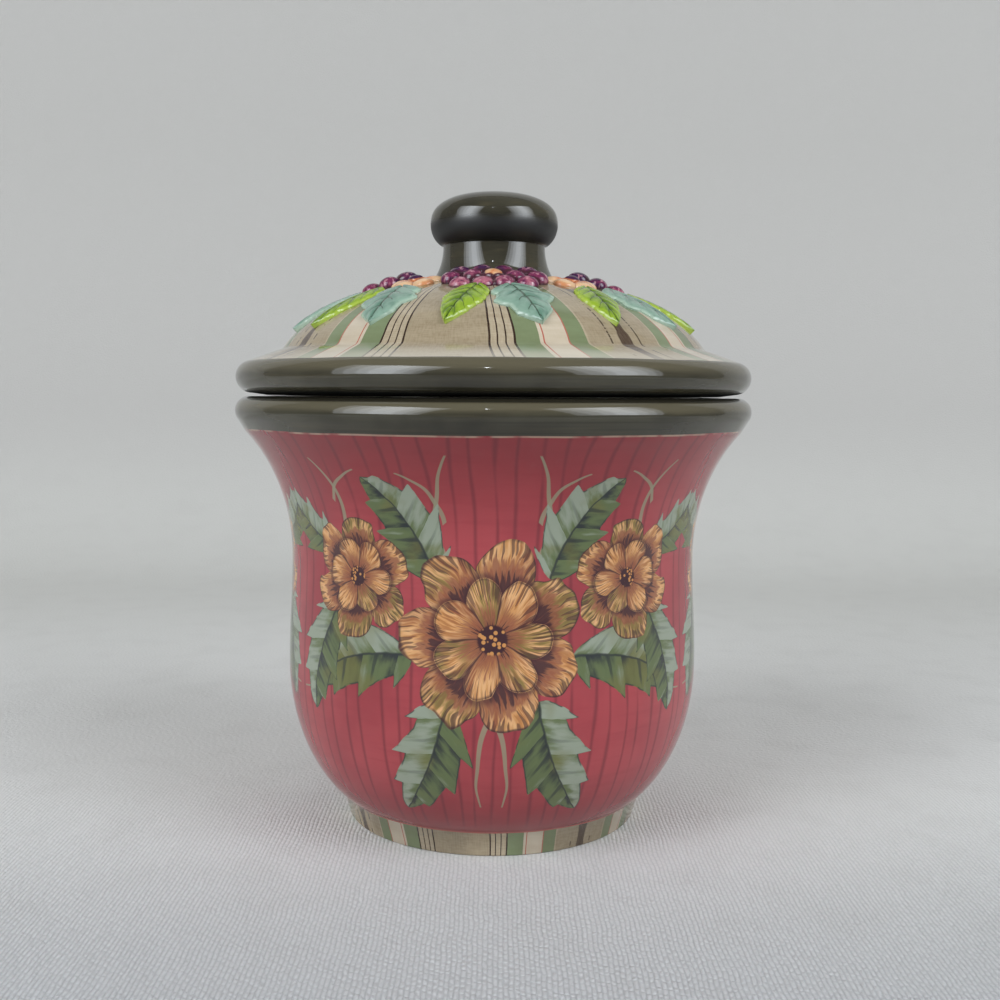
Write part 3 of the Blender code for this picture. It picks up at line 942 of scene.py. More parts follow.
@dataclass
class Jar:
    """The jar: a rolled rim, a flared mouth, a waist, a full belly and a foot ring.

    Attributes give its sizes in metres, as in the solid that it stands for. Each reach is the half
    height of a curve's ellipse over the curve's rise, and painted_r is the radius in mm that the
    garland is drawn for.
    """

    effects: Effects
    rim_r: float = 75.0 * MM
    rim_width: float = 10.0 * MM
    rim_roll: float = 4.1 * MM
    rim_proud: float = 2.8 * MM
    rim_band: float = 9.8 * MM
    lip_round: float = 1.0 * MM
    height: float = 123.5 * MM
    throat_depth: float = 12.0 * MM
    wall: float = 5.0 * MM
    waist: Point = (59.2 * MM, 78.0 * MM)
    belly: Point = (60.3 * MM, 46.0 * MM)
    foot_r: float = 43.0 * MM
    foot_top: Point = (44.8 * MM, 7.0 * MM)
    foot_round: float = 0.7 * MM
    ring_width: float = 6.5 * MM
    ring_bevel: Point = (0.8 * MM, 0.6 * MM)
    recess: float = 2.8 * MM
    floor: float = 8.4 * MM
    lip_band: float = 2.4 * MM
    base_reach: float = 1.08
    belly_reach: float = 1.155
    flare_reach: float = 1.36
    garlands: int = 3
    painted_r: float = 60.0
    steps: int = 192

    @property
    def lip_shade(self) -> Point:
        """The heights in mm over which painted shade darkens the lip, where the lid sits on it."""
        return self.height / MM - 1.3, self.height / MM - 0.8

    def section(self) -> list[Stretch]:
        """The jar's section: the inside, the painted outside and the bare clay under the foot.

        Returns:
            Its runs, from the middle of the floor over the lip to the middle of the foot.
        """
        inner_belly = (self.belly[0] - self.wall, self.belly[1])
        inner_waist = (self.waist[0] - self.wall, self.waist[1])
        mouth = self.rim_r - self.rim_width
        inside = [(0.0, self.floor)]
        base = (self.foot_r - self.wall, self.floor)
        inside += bow(inner_belly, base, self.base_reach, 18)[::-1]
        inside += ease(inner_belly, inner_waist, 8)[1:]
        throat = (mouth, self.height - self.throat_depth)
        inside += bow(inner_waist, throat, self.flare_reach, 10)[1:]
        lip = (mouth + self.lip_round, self.height - self.lip_round)
        inside += arc(lip, (self.lip_round, self.lip_round), 180, 90, 5)

        roll = (self.rim_r - self.rim_roll, self.height - self.rim_roll)
        outside = [inside[-1]] + arc(roll, (self.rim_roll, self.rim_roll), 90, -40, 18)
        flare = (self.rim_r - self.rim_proud, self.height - self.rim_band)
        outside += bow(self.waist, flare, self.flare_reach, 24)[::-1]
        outside += ease(self.waist, self.belly, 10)[1:]
        outside += bow(self.belly, self.foot_top, self.belly_reach, 26)[1:]
        edge = self.foot_r - self.foot_round
        outside += arc((edge, self.foot_round), (self.foot_round, self.foot_round), 0, -60, 3)

        ring, (bevel, rise) = self.foot_r - self.ring_width, self.ring_bevel
        under = [outside[-1], (edge, 0.0), (ring, 0.0)]
        under += [(ring - bevel, rise), (ring - self.recess, self.recess), (0.0, self.recess)]
        return [Stretch(inside, 1), Stretch(outside, 0), Stretch(under, 2)]

    def decoration(self, finish: Finish, colour: Signal) -> Signal:
        """Paints a regular garland of blossoms and leaves over the ground, three times round.

        Args:
            finish: The material that it is painted in.
            colour: The colour under it.

        Returns:
            The painted colour.
        """
        repeat = 360.0 / self.garlands
        part = (finish.bearing + 4.5 * repeat).modulo(repeat) - repeat / 2
        across = part * (math.radians(1) * self.painted_r)
        mirrored = abs(across)
        for motif in GARLAND:
            painted = self.effects.motifs[motif.kind].on(
                mirrored if motif.mirrored else across, finish.height, *motif.place, *motif.traits
            )
            colour = painted["Mask"].mix(colour, painted.get("Color", Paint.STEM))
        return colour

    def painted(self) -> Material:
        """The outside: olive rim, combed rose ground with its garland, and striped foot band.

        Returns:
            The material.
        """
        finish = Finish("jar_paint", self.effects, GLOSS)
        combed = self.effects.combed.on(finish.bearing, finish.height, *finish.way)
        colour = self.decoration(finish, combed["Color"])
        above = finish.height - finish.around(3.0, 0.0).noise(1.0) * 0.5
        foot, top = self.foot_top[1] / MM - 0.1, self.height / MM
        band = (self.height - self.rim_band) / MM + 0.6
        # Painted shade: the foot band's stripes are darkened in uneven patches, for the shade under
        # the belly and at the table.
        painted_shade = finish.around(1.7, 0.0).noise(1.0).fade(0.56, 0.42) * 0.26 + 0.08
        foot_line = above.fade(foot, foot + 0.15) * above.fade(foot + 0.75, foot + 0.5)
        broken = finish.around(9.0, 0.0).noise(1.0).fade(0.35, 0.55)
        rim_line = above.fade(band - 0.45, band - 0.3) * broken
        return finish.finish(colour.under(
            (above.fade(foot + 0.15, foot), painted_shade.mix(finish.striped(), Paint.FOOT_SHADE)),
            (foot_line * 0.5, Paint.PINK_LINE),
            (rim_line * 0.6, Paint.TAUPE_PALE),
            # Painted shade, near black, on the lip's top where the lid sits.
            (above.fade(band, band + 0.12), finish.olive(self.lip_shade, (top - 4.4, top - 2.4))),
        ))

    def lined(self) -> Material:
        """The inside: plain ivory glaze, which turns olive on the rounded lip.

        Returns:
            The material.
        """
        finish = Finish("jar_inside_glaze", self.effects, INSIDE_GLOSS)
        edge = (self.height - self.lip_band) / MM
        # Painted shade, near black, on the lip's top where the lid sits.
        olive = (finish.height.fade(edge, edge + 0.5), finish.olive(self.lip_shade))
        return finish.finish(finish.ivory().under(olive))

    def build(self) -> None:
        """Builds the jar, dresses it and puts it on its body."""
        materials = [self.painted(), self.lined(), bare_clay(self.effects, "foot_clay")]
        piece = lathe("canister_jar", self.section(), self.steps, materials)
        settle(piece, "jar", "jar_glaze", "jar")


@dataclass(frozen=True)
class Motif:
    """A motif of the painted garland.

    Attributes:
        kind: Its effect: stem, leaf or blossom.
        place: Its foot or middle in mm across from the group's middle and up from the table, its
            turn in degrees, and its length or a blossom's radius in mm.
        traits: A stem's width and bend, a leaf's fullness, bend and seed, or a blossom's petals
            and seed.
        mirrored: Whether it is painted on both sides of the group's middle.
    """

    kind: str
    place: tuple[float, float, float, float]
    traits: tuple[float, ...]
    mirrored: bool = True


GARLAND = (
    Motif("stem", (12.5, 84.0, 96.0, 26.0), (1.0 / 26.0, -0.12)),
    Motif("stem", (12.0, 92.0, 50.0, 17.0), (0.8 / 17.0, 0.14)),
    Motif("stem", (41.0, 88.0, 74.0, 21.0), (0.9 / 21.0, 0.12)),
    Motif("stem", (43.5, 97.0, 140.0, 13.0), (0.7 / 13.0, -0.12)),
    Motif("stem", (1.0, 42.0, -86.0, 25.0), (0.9 / 25.0, 0.1)),
    Motif("stem", (46.0, 52.0, -28.0, 17.0), (0.8 / 17.0, -0.14)),
    Motif("leaf", (12.0, 47.0, -66.0, 35.0), (0.3, -0.08, 0.2)),
    Motif("leaf", (21.0, 58.0, -18.0, 37.0), (0.28, 0.1, 0.7)),
    Motif("leaf", (15.0, 78.0, 56.0, 31.0), (0.3, 0.08, 0.45)),
    Motif("leaf", (44.0, 70.0, -70.0, 33.0), (0.28, 0.08, 1.3)),
    Motif("leaf", (45.5, 84.0, 36.0, 25.0), (0.3, -0.1, 0.9)),
    Motif("blossom", (38.0, 77.0, 20.0, 16.5), (6, 2.0)),
    Motif("blossom", (0.0, 63.0, -90.0, 25.0), (7, 1.0), mirrored=False),
)


@dataclass
class Crown:
    """The lid's crown: the ellipse that the knob, the sprigs and the lid's outside share."""

    lid_z: float = 123.8 * MM
    spring: float = 6.2 * MM
    height: float = 34.2 * MM
    crease_r: float = 61.4 * MM
    crease_rise: float = 7.0 * MM
    seat_r: float = 19.0 * MM

    @property
    def half_height(self) -> float:
        """The ellipse's half height."""
        return self.height - self.spring

    @property
    def half_width(self) -> float:
        """The ellipse's half width."""
        return self.crease_r / math.sqrt(1 - (self.crease_rise / self.half_height) ** 2)

    @property
    def spring_z(self) -> float:
        """The height of the ellipse's centre."""
        return self.lid_z + self.spring

    def outer(self, steps: int) -> list[Point]:
        """The crown's outer curve from the knob's seat down to the crease.

        Args:
            steps: The number of straight runs.

        Returns:
            The points (r, z) in order.
        """
        start = math.degrees(math.acos(self.seat_r / self.half_width))
        end = math.degrees(math.asin(self.crease_rise / self.half_height))
        return arc((0, self.spring_z), (self.half_width, self.half_height), start, end, steps)

    def at(self, from_axis: float) -> tuple[float, float]:
        """The crown's height and slope at a distance from the axis.

        Args:
            from_axis: The distance from the lid's axis.

        Returns:
            The height, and the slope in radians.
        """
        share = math.sqrt(1 - (from_axis / self.half_width) ** 2)
        slope = math.atan(self.half_height * from_axis / (self.half_width**2 * share))
        return self.spring_z + self.half_height * share, slope

    def press(self, form: Form, from_axis: float, bearing: float, turn: float = 0.0) -> None:
        """Bends a flat form to the crown, with its x out from the axis and its z straight out.

        Args:
            form: The form, flat on z = 0.
            from_axis: Where its middle lies from the lid's axis.
            bearing: Where it lies about the axis, in degrees, with the front at -90.
            turn: Its own turn on the crown, in degrees.
        """
        shortening = math.cos(self.at(from_axis)[1])
        form.transform(Matrix.Rotation(math.radians(turn), 4, "Z"))
        for corner in form.verts:
            out = from_axis + corner.co.x * shortening
            reach = math.hypot(out, corner.co.y)
            angle = math.radians(bearing) + math.atan2(corner.co.y, out)
            height, slope = self.at(reach)
            reach += corner.co.z * math.sin(slope)
            height += corner.co.z * math.cos(slope)
            corner.co = (reach * math.cos(angle), reach * math.sin(angle), height)


@dataclass
class Lid:
    """The lid: a rolled rim, a sloping brim, the crown and the grooved flange under it."""

    effects: Effects
    crown: Crown
    rim_r: float = 74.7 * MM
    rim_roll: float = 4.6 * MM
    rim_lift: float = 0.6 * MM
    brim_tilt: float = 20.0
    seat_r: float = 66.0 * MM
    flange_r: float = 60.5 * MM
    flange_wall: float = 4.5 * MM
    flange_depth: float = 11.8 * MM
    flange_round: float = 0.8 * MM
    groove: float = 1.2 * MM
    groove_top: float = 2.6 * MM
    groove_height: float = 6.6 * MM
    crease_fillet: float = 0.9 * MM
    knob_hole: float = 11.0 * MM
    wall: float = 5.0 * MM
    band_z: float = 133.1 * MM
    steps: int = 192

    def section(self) -> list[Stretch]:
        """The lid's section: the painted outside and the glazed underside.

        Returns:
            Its runs, from the knob's hole round the rim and back under the crown.
        """
        crown, lid_z = self.crown, self.crown.lid_z
        roll = (self.rim_r - self.rim_roll, lid_z + self.rim_lift + self.rim_roll)
        dome = crown.outer(40)
        brim = arc(roll, (self.rim_roll, self.rim_roll), 90 - self.brim_tilt, -90, 24)
        crease = self.rounded(dome[-2], dome[-1], brim[0])
        outside = [(self.knob_hole, dome[0][1])] + dome[:-1] + crease + brim
        outside.append((self.seat_r, lid_z))

        groove_r, top = self.flange_r - self.groove, lid_z - self.groove_top
        bottom, low = top - self.groove_height, lid_z - self.flange_depth
        inner = self.flange_r - self.flange_wall
        corner = self.flange_round
        under = [outside[-1], (self.flange_r, lid_z), (self.flange_r, top), (groove_r, top)]
        under += [(groove_r, bottom), (self.flange_r, bottom)]
        under += arc((self.flange_r - corner, low + corner), (corner, corner), 0, -90, 4)
        under += arc((inner + corner, low + corner), (corner, corner), -90, -180, 4)
        half_height = crown.half_height - self.wall
        half_width = inner / math.sqrt(1 - (crown.crease_rise / half_height) ** 2)
        start = math.degrees(math.acos(inner / half_width))
        end = math.degrees(math.acos(self.knob_hole / half_width))
        under += arc((0, crown.spring_z), (half_width, half_height), start, end, 30)
        under.append(outside[0])
        return [Stretch(outside, 0), Stretch(under, 1)]

    def rounded(self, before: Point, corner: Point, after: Point) -> list[Point]:
        """A small fillet in the crease, from the dome's last run to the brim.

        Args:
            before: The point before the crease.
            corner: The crease.
            after: The point after it.

        Returns:
            The points (r, z) in order.
        """
        middle, ends = Vector(corner), (Vector(before), Vector(after))
        near = [middle.lerp(end, self.crease_fillet / (end - middle).length) for end in ends]
        shares = [i / 4 for i in range(5)]
        return [
            tuple(near[0] * (1 - s) ** 2 + middle * 2 * s * (1 - s) + near[1] * s**2)
            for s in shares
        ]

    def painted(self) -> Material:
        """The outside: ticking stripes down the crown and brim, and the olive rim.

        Returns:
            The material.
        """
        finish = Finish("lid_paint", self.effects, GLOSS)
        above = finish.height - finish.around(3.0, 0.0).noise(1.3) * 0.4
        band, under = self.band_z / MM, (self.crown.lid_z + self.rim_lift) / MM
        # Painted shade, near black, on the underside of the rim roll at the joint with the jar.
        rim = finish.olive((under + 1.0, under + 0.2), (under + 4.6, under + 7.4), 0.5)
        # Painted sheen: the brim's stripes pale towards the rim, standing in for a reflection of
        # bright light above.
        brim_sheen = above.fade(band + 3.2, band + 0.2) * 0.42
        ground = brim_sheen.mix(finish.striped(0.12), Paint.BRIM_SHEEN)
        return finish.finish(above.fade(band, band - 0.08).mix(ground, rim))

    def lined(self) -> Material:
        """The underside: ivory glaze over the hollow crown and the flange."""
        finish = Finish("lid_inside_glaze", self.effects, INSIDE_GLOSS)
        return finish.finish(finish.ivory())

    def build(self) -> None:
        """Builds the lid, dresses it and puts it on its body."""
        piece = lathe("canister_lid", self.section(), self.steps, [self.painted(), self.lined()])
        settle(piece, "lid", "lid_glaze", "lid")


@dataclass
class Knob:
    """The knob: a flaring neck under a flat-crowned bulb, hollow from below."""

    effects: Effects
    crown: Crown
    base_r: float = 18.3 * MM
    base_gap: float = 0.3 * MM
    neck_r: float = 14.9 * MM
    neck_height: float = 10.2 * MM
    bulb_r: float = 18.6 * MM
    undercut: float = 6.3 * MM
    bulb_crown: float = 9.0 * MM
    squareness: float = 2.5
    undercut_reach: float = 1.06
    neck_reach: float = 1.25
    spigot_r: float = 10.7 * MM
    spigot: float = 3.5 * MM
    bore_r: float = 6.0 * MM
    cap: float = 9.0 * MM
    steps: int = 128

    def section(self) -> list[Stretch]:
        """The knob's section: the olive outside and the bare bore.

        Returns:
            Its runs, from the top round the foot to the bore's end.
        """
        base_z = self.crown.outer(1)[0][1] + self.base_gap
        neck_z = base_z + self.neck_height
        bulb_z = neck_z + self.undercut
        power = 2 / self.squareness
        turns = [math.radians(90 - 90 * i / 28) for i in range(29)]
        outside = [
            (self.bulb_r * math.cos(t) ** power, bulb_z + self.bulb_crown * math.sin(t) ** power)
            for t in turns
        ]
        outside[0] = (0.0, outside[0][1])
        outside[-1] = (self.bulb_r, bulb_z)
        neck = (self.neck_r, neck_z)
        outside += bow((self.bulb_r, bulb_z), neck, self.undercut_reach, 12)[1:]
        outside += bow(neck, (self.base_r, base_z), self.neck_reach, 14)[1:]
        foot_z = base_z - self.base_gap - self.spigot
        bore_z = bulb_z + self.bulb_crown - self.cap - self.bore_r
        inside = [outside[-1], (self.spigot_r, base_z), (self.spigot_r, foot_z)]
        inside += [(self.bore_r, foot_z)]
        inside += arc((0, bore_z), (self.bore_r, self.bore_r), 0, 90, 8)[:-1]
        inside += [(0.0, bore_z + self.bore_r)]
        return [Stretch(outside, 0), Stretch(inside, 1)]

    def build(self) -> None:
        """Builds the knob, dresses it and puts it on its body."""
        finish = Finish("knob_olive", self.effects, DEEP_GLOSS)
        neck = (self.crown.outer(1)[0][1] + self.base_gap + self.neck_height) / MM
        height = finish.height
        # Painted shade: near black under the bulb and round the top of the neck.
        painted_shade = height.fade(neck - 0.5, neck + 0.7) * height.fade(neck + 8.4, neck + 4.8)
        colour = painted_shade.mix(finish.olive(), Paint.PAINTED_SHADE)
        finish.dull(painted_shade, 0.45)
        materials = [finish.finish(colour), bare_clay(self.effects, "bore_clay")]
        piece = lathe("canister_knob", self.section(), self.steps, materials)
        settle(piece, "lid", "knob_glaze", "knob")


@dataclass
class Seal:
    """The silicone seal in the flange's groove, with three upturned fins."""

    effects: Effects
    crown: Crown
    inner_r: float = 59.6 * MM
    body: float = 2.2 * MM
    tip_r: float = 64.7 * MM
    top_drop: float = 2.9 * MM
    height: float = 6.0 * MM
    fins: int = 3
    fin_root: float = 1.3 * MM
    fin_tip: float = 0.6 * MM
    upturn: float = 0.7 * MM
    steps: int = 192

    def section(self) -> list[Stretch]:
        """The seal's section as one closed run.

        Returns:
            The run, in a list of its own.
        """
        top = self.crown.lid_z - self.top_drop
        root_r = self.inner_r + self.body
        pitch = self.height / self.fins
        loop = [(self.inner_r, top)]
        for i in range(self.fins):
            middle = top - pitch * (i + 0.5)
            tip = (self.tip_r - self.fin_tip / 2, middle + self.upturn)
            loop += [(root_r, middle + self.fin_root / 2)]
            loop += arc(tip, (self.fin_tip / 2, self.fin_tip / 2), 90, -90, 5)
            loop += [(root_r, middle - self.fin_root / 2)]
        loop += [(self.inner_r, top - self.height), (self.inner_r, top)]
        return [Stretch(loop)]

    def build(self) -> None:
        """Builds the seal, dresses it and puts it on its body."""
        finish = Finish("seal_silicone_finish", self.effects, RUBBER)
        dust = finish.spot.noise(300.0, 3.0).fade(0.4, 0.75)
        colour = (dust * 0.25).mix(Paint.SILICONE, Paint.TAUPE_PALE)
        glow = {"Subsurface Weight": 0.2, "Subsurface Radius": (1.2 * MM, 1.0 * MM, 0.9 * MM)}
        finish.feed(finish.principled, glow)
        piece = lathe("canister_seal", self.section(), self.steps, [finish.finish(colour)])
        settle(piece, "seal", "seal_silicone", "seal_ring")


@dataclass(frozen=True)
class LeafForm:
    """One of the wreath's two kinds of leaf.

    Attributes:
        name: The word that its nodes start with.
        hand: The side of a sprig's bearing that it lies on, -1 or 1.
        width: Its greatest width.
        scallop: How far its three lobes wave, as a share of its half width.
        teeth: The number of small teeth along each edge.
        veins: The number of side veins along each half.
        vein_reach: How far the drawn side veins run to the edge, as a share.
        paints: Its light and deep glaze and the pale one of its edge.
    """

    name: str
    hand: int
    width: float
    scallop: float
    teeth: int
    veins: float
    vein_reach: float
    paints: tuple[Paint, Paint, Paint]


LEAF_FORMS = (
    LeafForm(
        "lime", -1, 11.0 * MM, 0.03, 8, 6.0, 0.85, (Paint.LIME, Paint.LIME_DEEP, Paint.LIME_RIM)
    ),
    LeafForm(
        "teal", 1, 15.0 * MM, 0.13, 9, 5.0, 0.45, (Paint.TEAL, Paint.TEAL_DEEP, Paint.TEAL_RIM)
    ),
)


def scatter(number: int, seed: float) -> float:
    """A fixed value from -1 to 1 that differs from one number to the next."""
    return 2 * ((math.sin(number * 12.9898 + seed * 78.233) * 437.5853) % 1) - 1


@dataclass
class Wreath:
    """The raised wreath: berries on each side, a blossom at each corner and leaves beyond them."""

    effects: Effects
    crown: Crown
    sides: tuple[str, ...] = ("front", "right", "back", "left")
    corners: tuple[str, ...] = ("front_right", "back_right", "back_left", "front_left")
    berry_r: float = 3.5 * MM
    berry_rise: float = 2.45 * MM
    berry_pitch: float = 6.0 * MM
    row_pitch: float = 5.2 * MM
    rows: tuple[int, ...] = (4, 5, 4)
    berry_stray: float = 0.35 * MM
    berry_pile: float = 1.3 * MM
    berries_at: float = 29.4 * MM
    leaf_length: float = 23.0 * MM
    leaf_height: float = 1.5 * MM
    leaf_edge: float = 0.8 * MM
    midrib: float = 0.35 * MM
    tooth: float = 0.07
    vein_slant: float = 1.3
    lobes: int = 3
    leaf_at: float = 47.5 * MM
    leaf_start: float = 38.7 * MM
    leaf_beside: float = 9.5
    leaf_turn: float = 13.0
    petals: int = 5
    petal: Size = (3.4 * MM, 3.2 * MM, 1.55 * MM)
    petal_at: float = 4.5 * MM
    eye: Size = (2.4 * MM, 2.4 * MM, 1.7 * MM)
    eye_lift: float = 0.8 * MM
    blossom_at: float = 30.2 * MM
    sunk: float = 0.8 * MM
    voxel: float = 0.24 * MM

    def beads(self, centres: list[Vector], radii: list[Size], turns: list[float]) -> Form:
        """Rounded beads, each stretched to its radii and turned about z, in one form.

        Args:
            centres: The beads' centres.
            radii: Each bead's radii.
            turns: Each bead's turn, in radians.

        Returns:
            The form.
        """
        form = bmesh.new()
        for centre, size, turn in zip(centres, radii, turns):
            matrix = Matrix.Translation(centre) @ Matrix.Rotation(turn, 4, "Z")
            matrix = matrix @ Matrix.Diagonal((*size, 1))
            bmesh.ops.create_icosphere(form, subdivisions=3, radius=1.0, matrix=matrix)
        return form

    def berries(self) -> tuple[Form, list[Vector]]:
        """A bunch of berries of slightly unlike sizes.

        Returns:
            The form, and the centre of each berry.
        """
        middle = (len(self.rows) - 1) / 2
        centres, radii = [], []
        for row, count in enumerate(self.rows):
            for i in range(count):
                number = len(centres)
                stray = [self.berry_stray * scatter(number, seed) for seed in (0.0, 1.0)]
                across = (i - (count - 1) / 2) * (self.berry_pitch - 0.2 * MM)
                lift = self.berry_pile * (1 - row / (len(self.rows) - 1)) + 0.5 * max(stray[0], 0.0)
                out = (row - middle) * self.row_pitch + stray[0]
                centres.append(Vector((out, across + stray[1], lift)))
                size = self.berry_r - self.berry_stray * (1 + 0.6 * scatter(number, 2.0))
                radii.append((size, size, self.berry_rise * (1 + 0.12 * scatter(number, 3.0))))
        return self.beads(centres, radii, [0.0] * len(centres)), centres

    def blossom(self) -> tuple[Form, list[Vector]]:
        """An open blossom with a raised eye.

        Returns:
            The form, and the centre of each petal and of the eye.
        """
        turns = [2 * math.pi * i / self.petals for i in range(self.petals)]
        out = self.petal_at
        centres = [Vector((out * math.cos(t), out * math.sin(t), 0)) for t in turns]
        centres.append(Vector((0, 0, self.eye_lift)))
        sizes = [self.petal] * self.petals + [self.eye]
        return self.beads(centres, sizes, turns + [0.0]), centres

    def fused(
        self, name: str, form: Form, centres: list[Vector], from_axis: float, bearing: float,
        material: Material,
    ) -> bpy.types.Object:
        """Fuses overlapping beads into one glazed relief and seats it on the crown.

        Args:
            name: The piece's name.
            form: The beads, in the sprig's own frame.
            centres: The beads' centres, which number them.
            from_axis: Where the sprig's middle lies from the lid's axis.
            bearing: Where it lies about the axis, in degrees.
            material: Its material.

        Returns:
            The piece. It keeps as attributes its own coordinates in mm, its bead numbers, and how
            much nearer each point is to its own bead than to the next, in mm.
        """
        rough = as_piece(name + "_rough", form, [])
        remesh = rough.modifiers.new("Fuse", "REMESH")
        remesh.mode = "VOXEL"
        remesh.voxel_size = self.voxel
        graph = bpy.context.evaluated_depsgraph_get()
        fused = bmesh.new()
        fused.from_mesh(bpy.data.meshes.new_from_object(rough.evaluated_get(graph)))
        bpy.data.objects.remove(rough)
        for _ in range(2):
            bmesh.ops.smooth_vert(
                fused, verts=fused.verts, factor=0.5, use_axis_x=True, use_axis_y=True,
                use_axis_z=True,
            )
        trim(fused, (0, 0, -self.sunk), (0, 0, 1))
        own = fused.verts.layers.float_vector.new("own")
        bead = fused.verts.layers.float.new("bead")
        seam = fused.verts.layers.float.new("seam")
        for vert in fused.verts:
            vert[own] = vert.co / MM
            reaches = [((centre - vert.co).to_2d().length, i) for i, centre in enumerate(centres)]
            first, second = sorted(reaches)[:2]
            vert[bead] = first[1]
            vert[seam] = (second[0] - first[0]) / MM
        self.crown.press(fused, from_axis, bearing)
        return as_piece(name, fused, [material])

    def leaf(
        self, name: str, bearing: float, kind: LeafForm, material: Material
    ) -> bpy.types.Object:
        """A veined leaf with a toothed edge, pressed onto the crown.

        Args:
            name: The piece's name.
            bearing: Where it lies about the lid's axis, in degrees.
            kind: The kind of leaf.
            material: Its material.

        Returns:
            The leaf, with its length and width as its UV map.
        """
        form = bmesh.new()
        sheet = bmesh.ops.create_grid(form, x_segments=96, y_segments=28, size=1.0)
        uv = form.loops.layers.uv.new("leaf")
        for face in form.faces:
            for loop in face.loops:
                loop[uv].uv = ((loop.vert.co.x + 1) / 2, (loop.vert.co.y + 1) / 2)
        for vert in sheet["verts"]:
            vert.co = self.leaf_point(vert.co.x, vert.co.y, kind)
        sides = bmesh.ops.extrude_face_region(form, geom=form.faces[:])
        for item in sides["geom"]:
            if isinstance(item, bmesh.types.BMVert):
                item.co.z = -self.sunk
        bmesh.ops.remove_doubles(form, verts=form.verts, dist=0.002 * MM)
        start = (self.leaf_start - self.leaf_at) / math.cos(self.crown.at(self.leaf_at)[1])
        trim(form, (start, 0, 0), (1, 0, 0))
        self.crown.press(form, self.leaf_at, bearing, kind.hand * self.leaf_turn)
        return as_piece(name, form, [material])

    def leaf_point(self, along: float, across: float, kind: LeafForm) -> Vector:
        """A point of the leaf's upper face.

        Args:
            along: Its place from -1 at the leaf's foot to 1 at its tip.
            across: Its place from one edge, -1, to the other, 1.
            kind: The kind of leaf.

        Returns:
            The point, in the leaf's own frame.
        """
        share = (along + 1) / 2
        fullness = max(math.sin(math.pi * share**0.8), 0.003) ** 0.75
        edge = 1 - kind.scallop * math.cos(2 * math.pi * self.lobes * share)
        edge -= self.tooth * (1 - abs(math.sin(math.pi * kind.teeth * (share + 0.03)))) ** 2
        crest = 1 - abs(across) ** 2.6
        height = self.leaf_edge + (self.leaf_height - self.leaf_edge) * crest
        height -= self.midrib * math.exp(-((across / 0.09) ** 2))
        cell = (share * kind.veins - abs(across) * self.vein_slant) % 1.0
        groove = math.exp(-(((cell - 0.5) / 0.14) ** 2)) * (1 - abs(across)) ** 0.4
        height -= 0.55 * self.midrib * groove
        height -= 0.5 * self.leaf_edge * max(abs(across) - 0.85, 0) / 0.15
        return Vector(
            (along * self.leaf_length / 2, across * kind.width / 2 * fullness * edge, height)
        )

    def berry_finish(self) -> Material:
        """Berries in washes of plum, magenta and pink, outlined dark, with a few cream ones.

        Returns:
            The material.
        """
        finish = Finish("berry_plum", self.effects, GLOSS)
        bead, seam = finish.attribute("bead"), finish.attribute("seam")
        own = finish.attribute("own", "Vector")
        x, y, z = own.split()
        chance = bead.round().chance()
        cloud, brush = own.noise(0.34, 3.0), finish.spot.noise(620.0, 3.0)
        tone = chance * 0.2 + (x * 0.036 + cloud * 0.9)
        tone = brush * 0.3 + tone
        stroke = vector(x * 1.5, y, bead).noise(0.75, 4.0)
        glint = stroke.fade(0.54, 0.62) * seam.fade(0.8, 2.6)
        cream = cloud.fade(0.4, 0.62).mix(Paint.PEACH, Paint.PEACH_DEEP)
        creamy = chance.fade(0.9, 0.91) * seam.fade(0.6, 1.2)
        edge, foot = (brush * -1.6 + seam).fade(0.7, -0.3), z.fade(0.9, 0.2)
        return finish.finish(tone.fade(0.5, 0.78).mix(Paint.PLUM, Paint.MAGENTA).under(
            (tone.fade(0.84, 1.08), Paint.PINK),
            (glint * 0.55, Paint.BLUSH),
            (stroke.fade(0.44, 0.34) * 0.75, Paint.PLUM),
            (creamy, cream),
            (edge.most(foot) * 0.85, Paint.PLUM_STROKE),
        ))

    def petal_finish(self) -> Material:
        """Peach petals that deepen towards the eye, which is plum.

        Returns:
            The material.
        """
        finish = Finish("blossom_peach", self.effects, GLOSS)
        x, y, _ = finish.attribute("own", "Vector").split()
        reach = (x * x + y * y).root()
        streak = vector(y.arctan2(x) * 6.0, reach * 0.25).noise(1.6, 3.0)
        tips = (streak * 2.2 + reach).fade(7.4, 8.6)
        edge = finish.attribute("seam").fade(0.5, 0.05) * streak.fade(0.35, 0.5)
        colour = (streak * -3.4 + reach).fade(4.2, 1.6).mix(Paint.PEACH, Paint.PEACH_DEEP)
        return finish.finish(colour.under(
            (tips * 0.8, Paint.PEACH_DEEP),
            (edge * 0.6, Paint.RUST),
            (reach.fade(2.3, 1.9), Paint.PLUM),
        ))

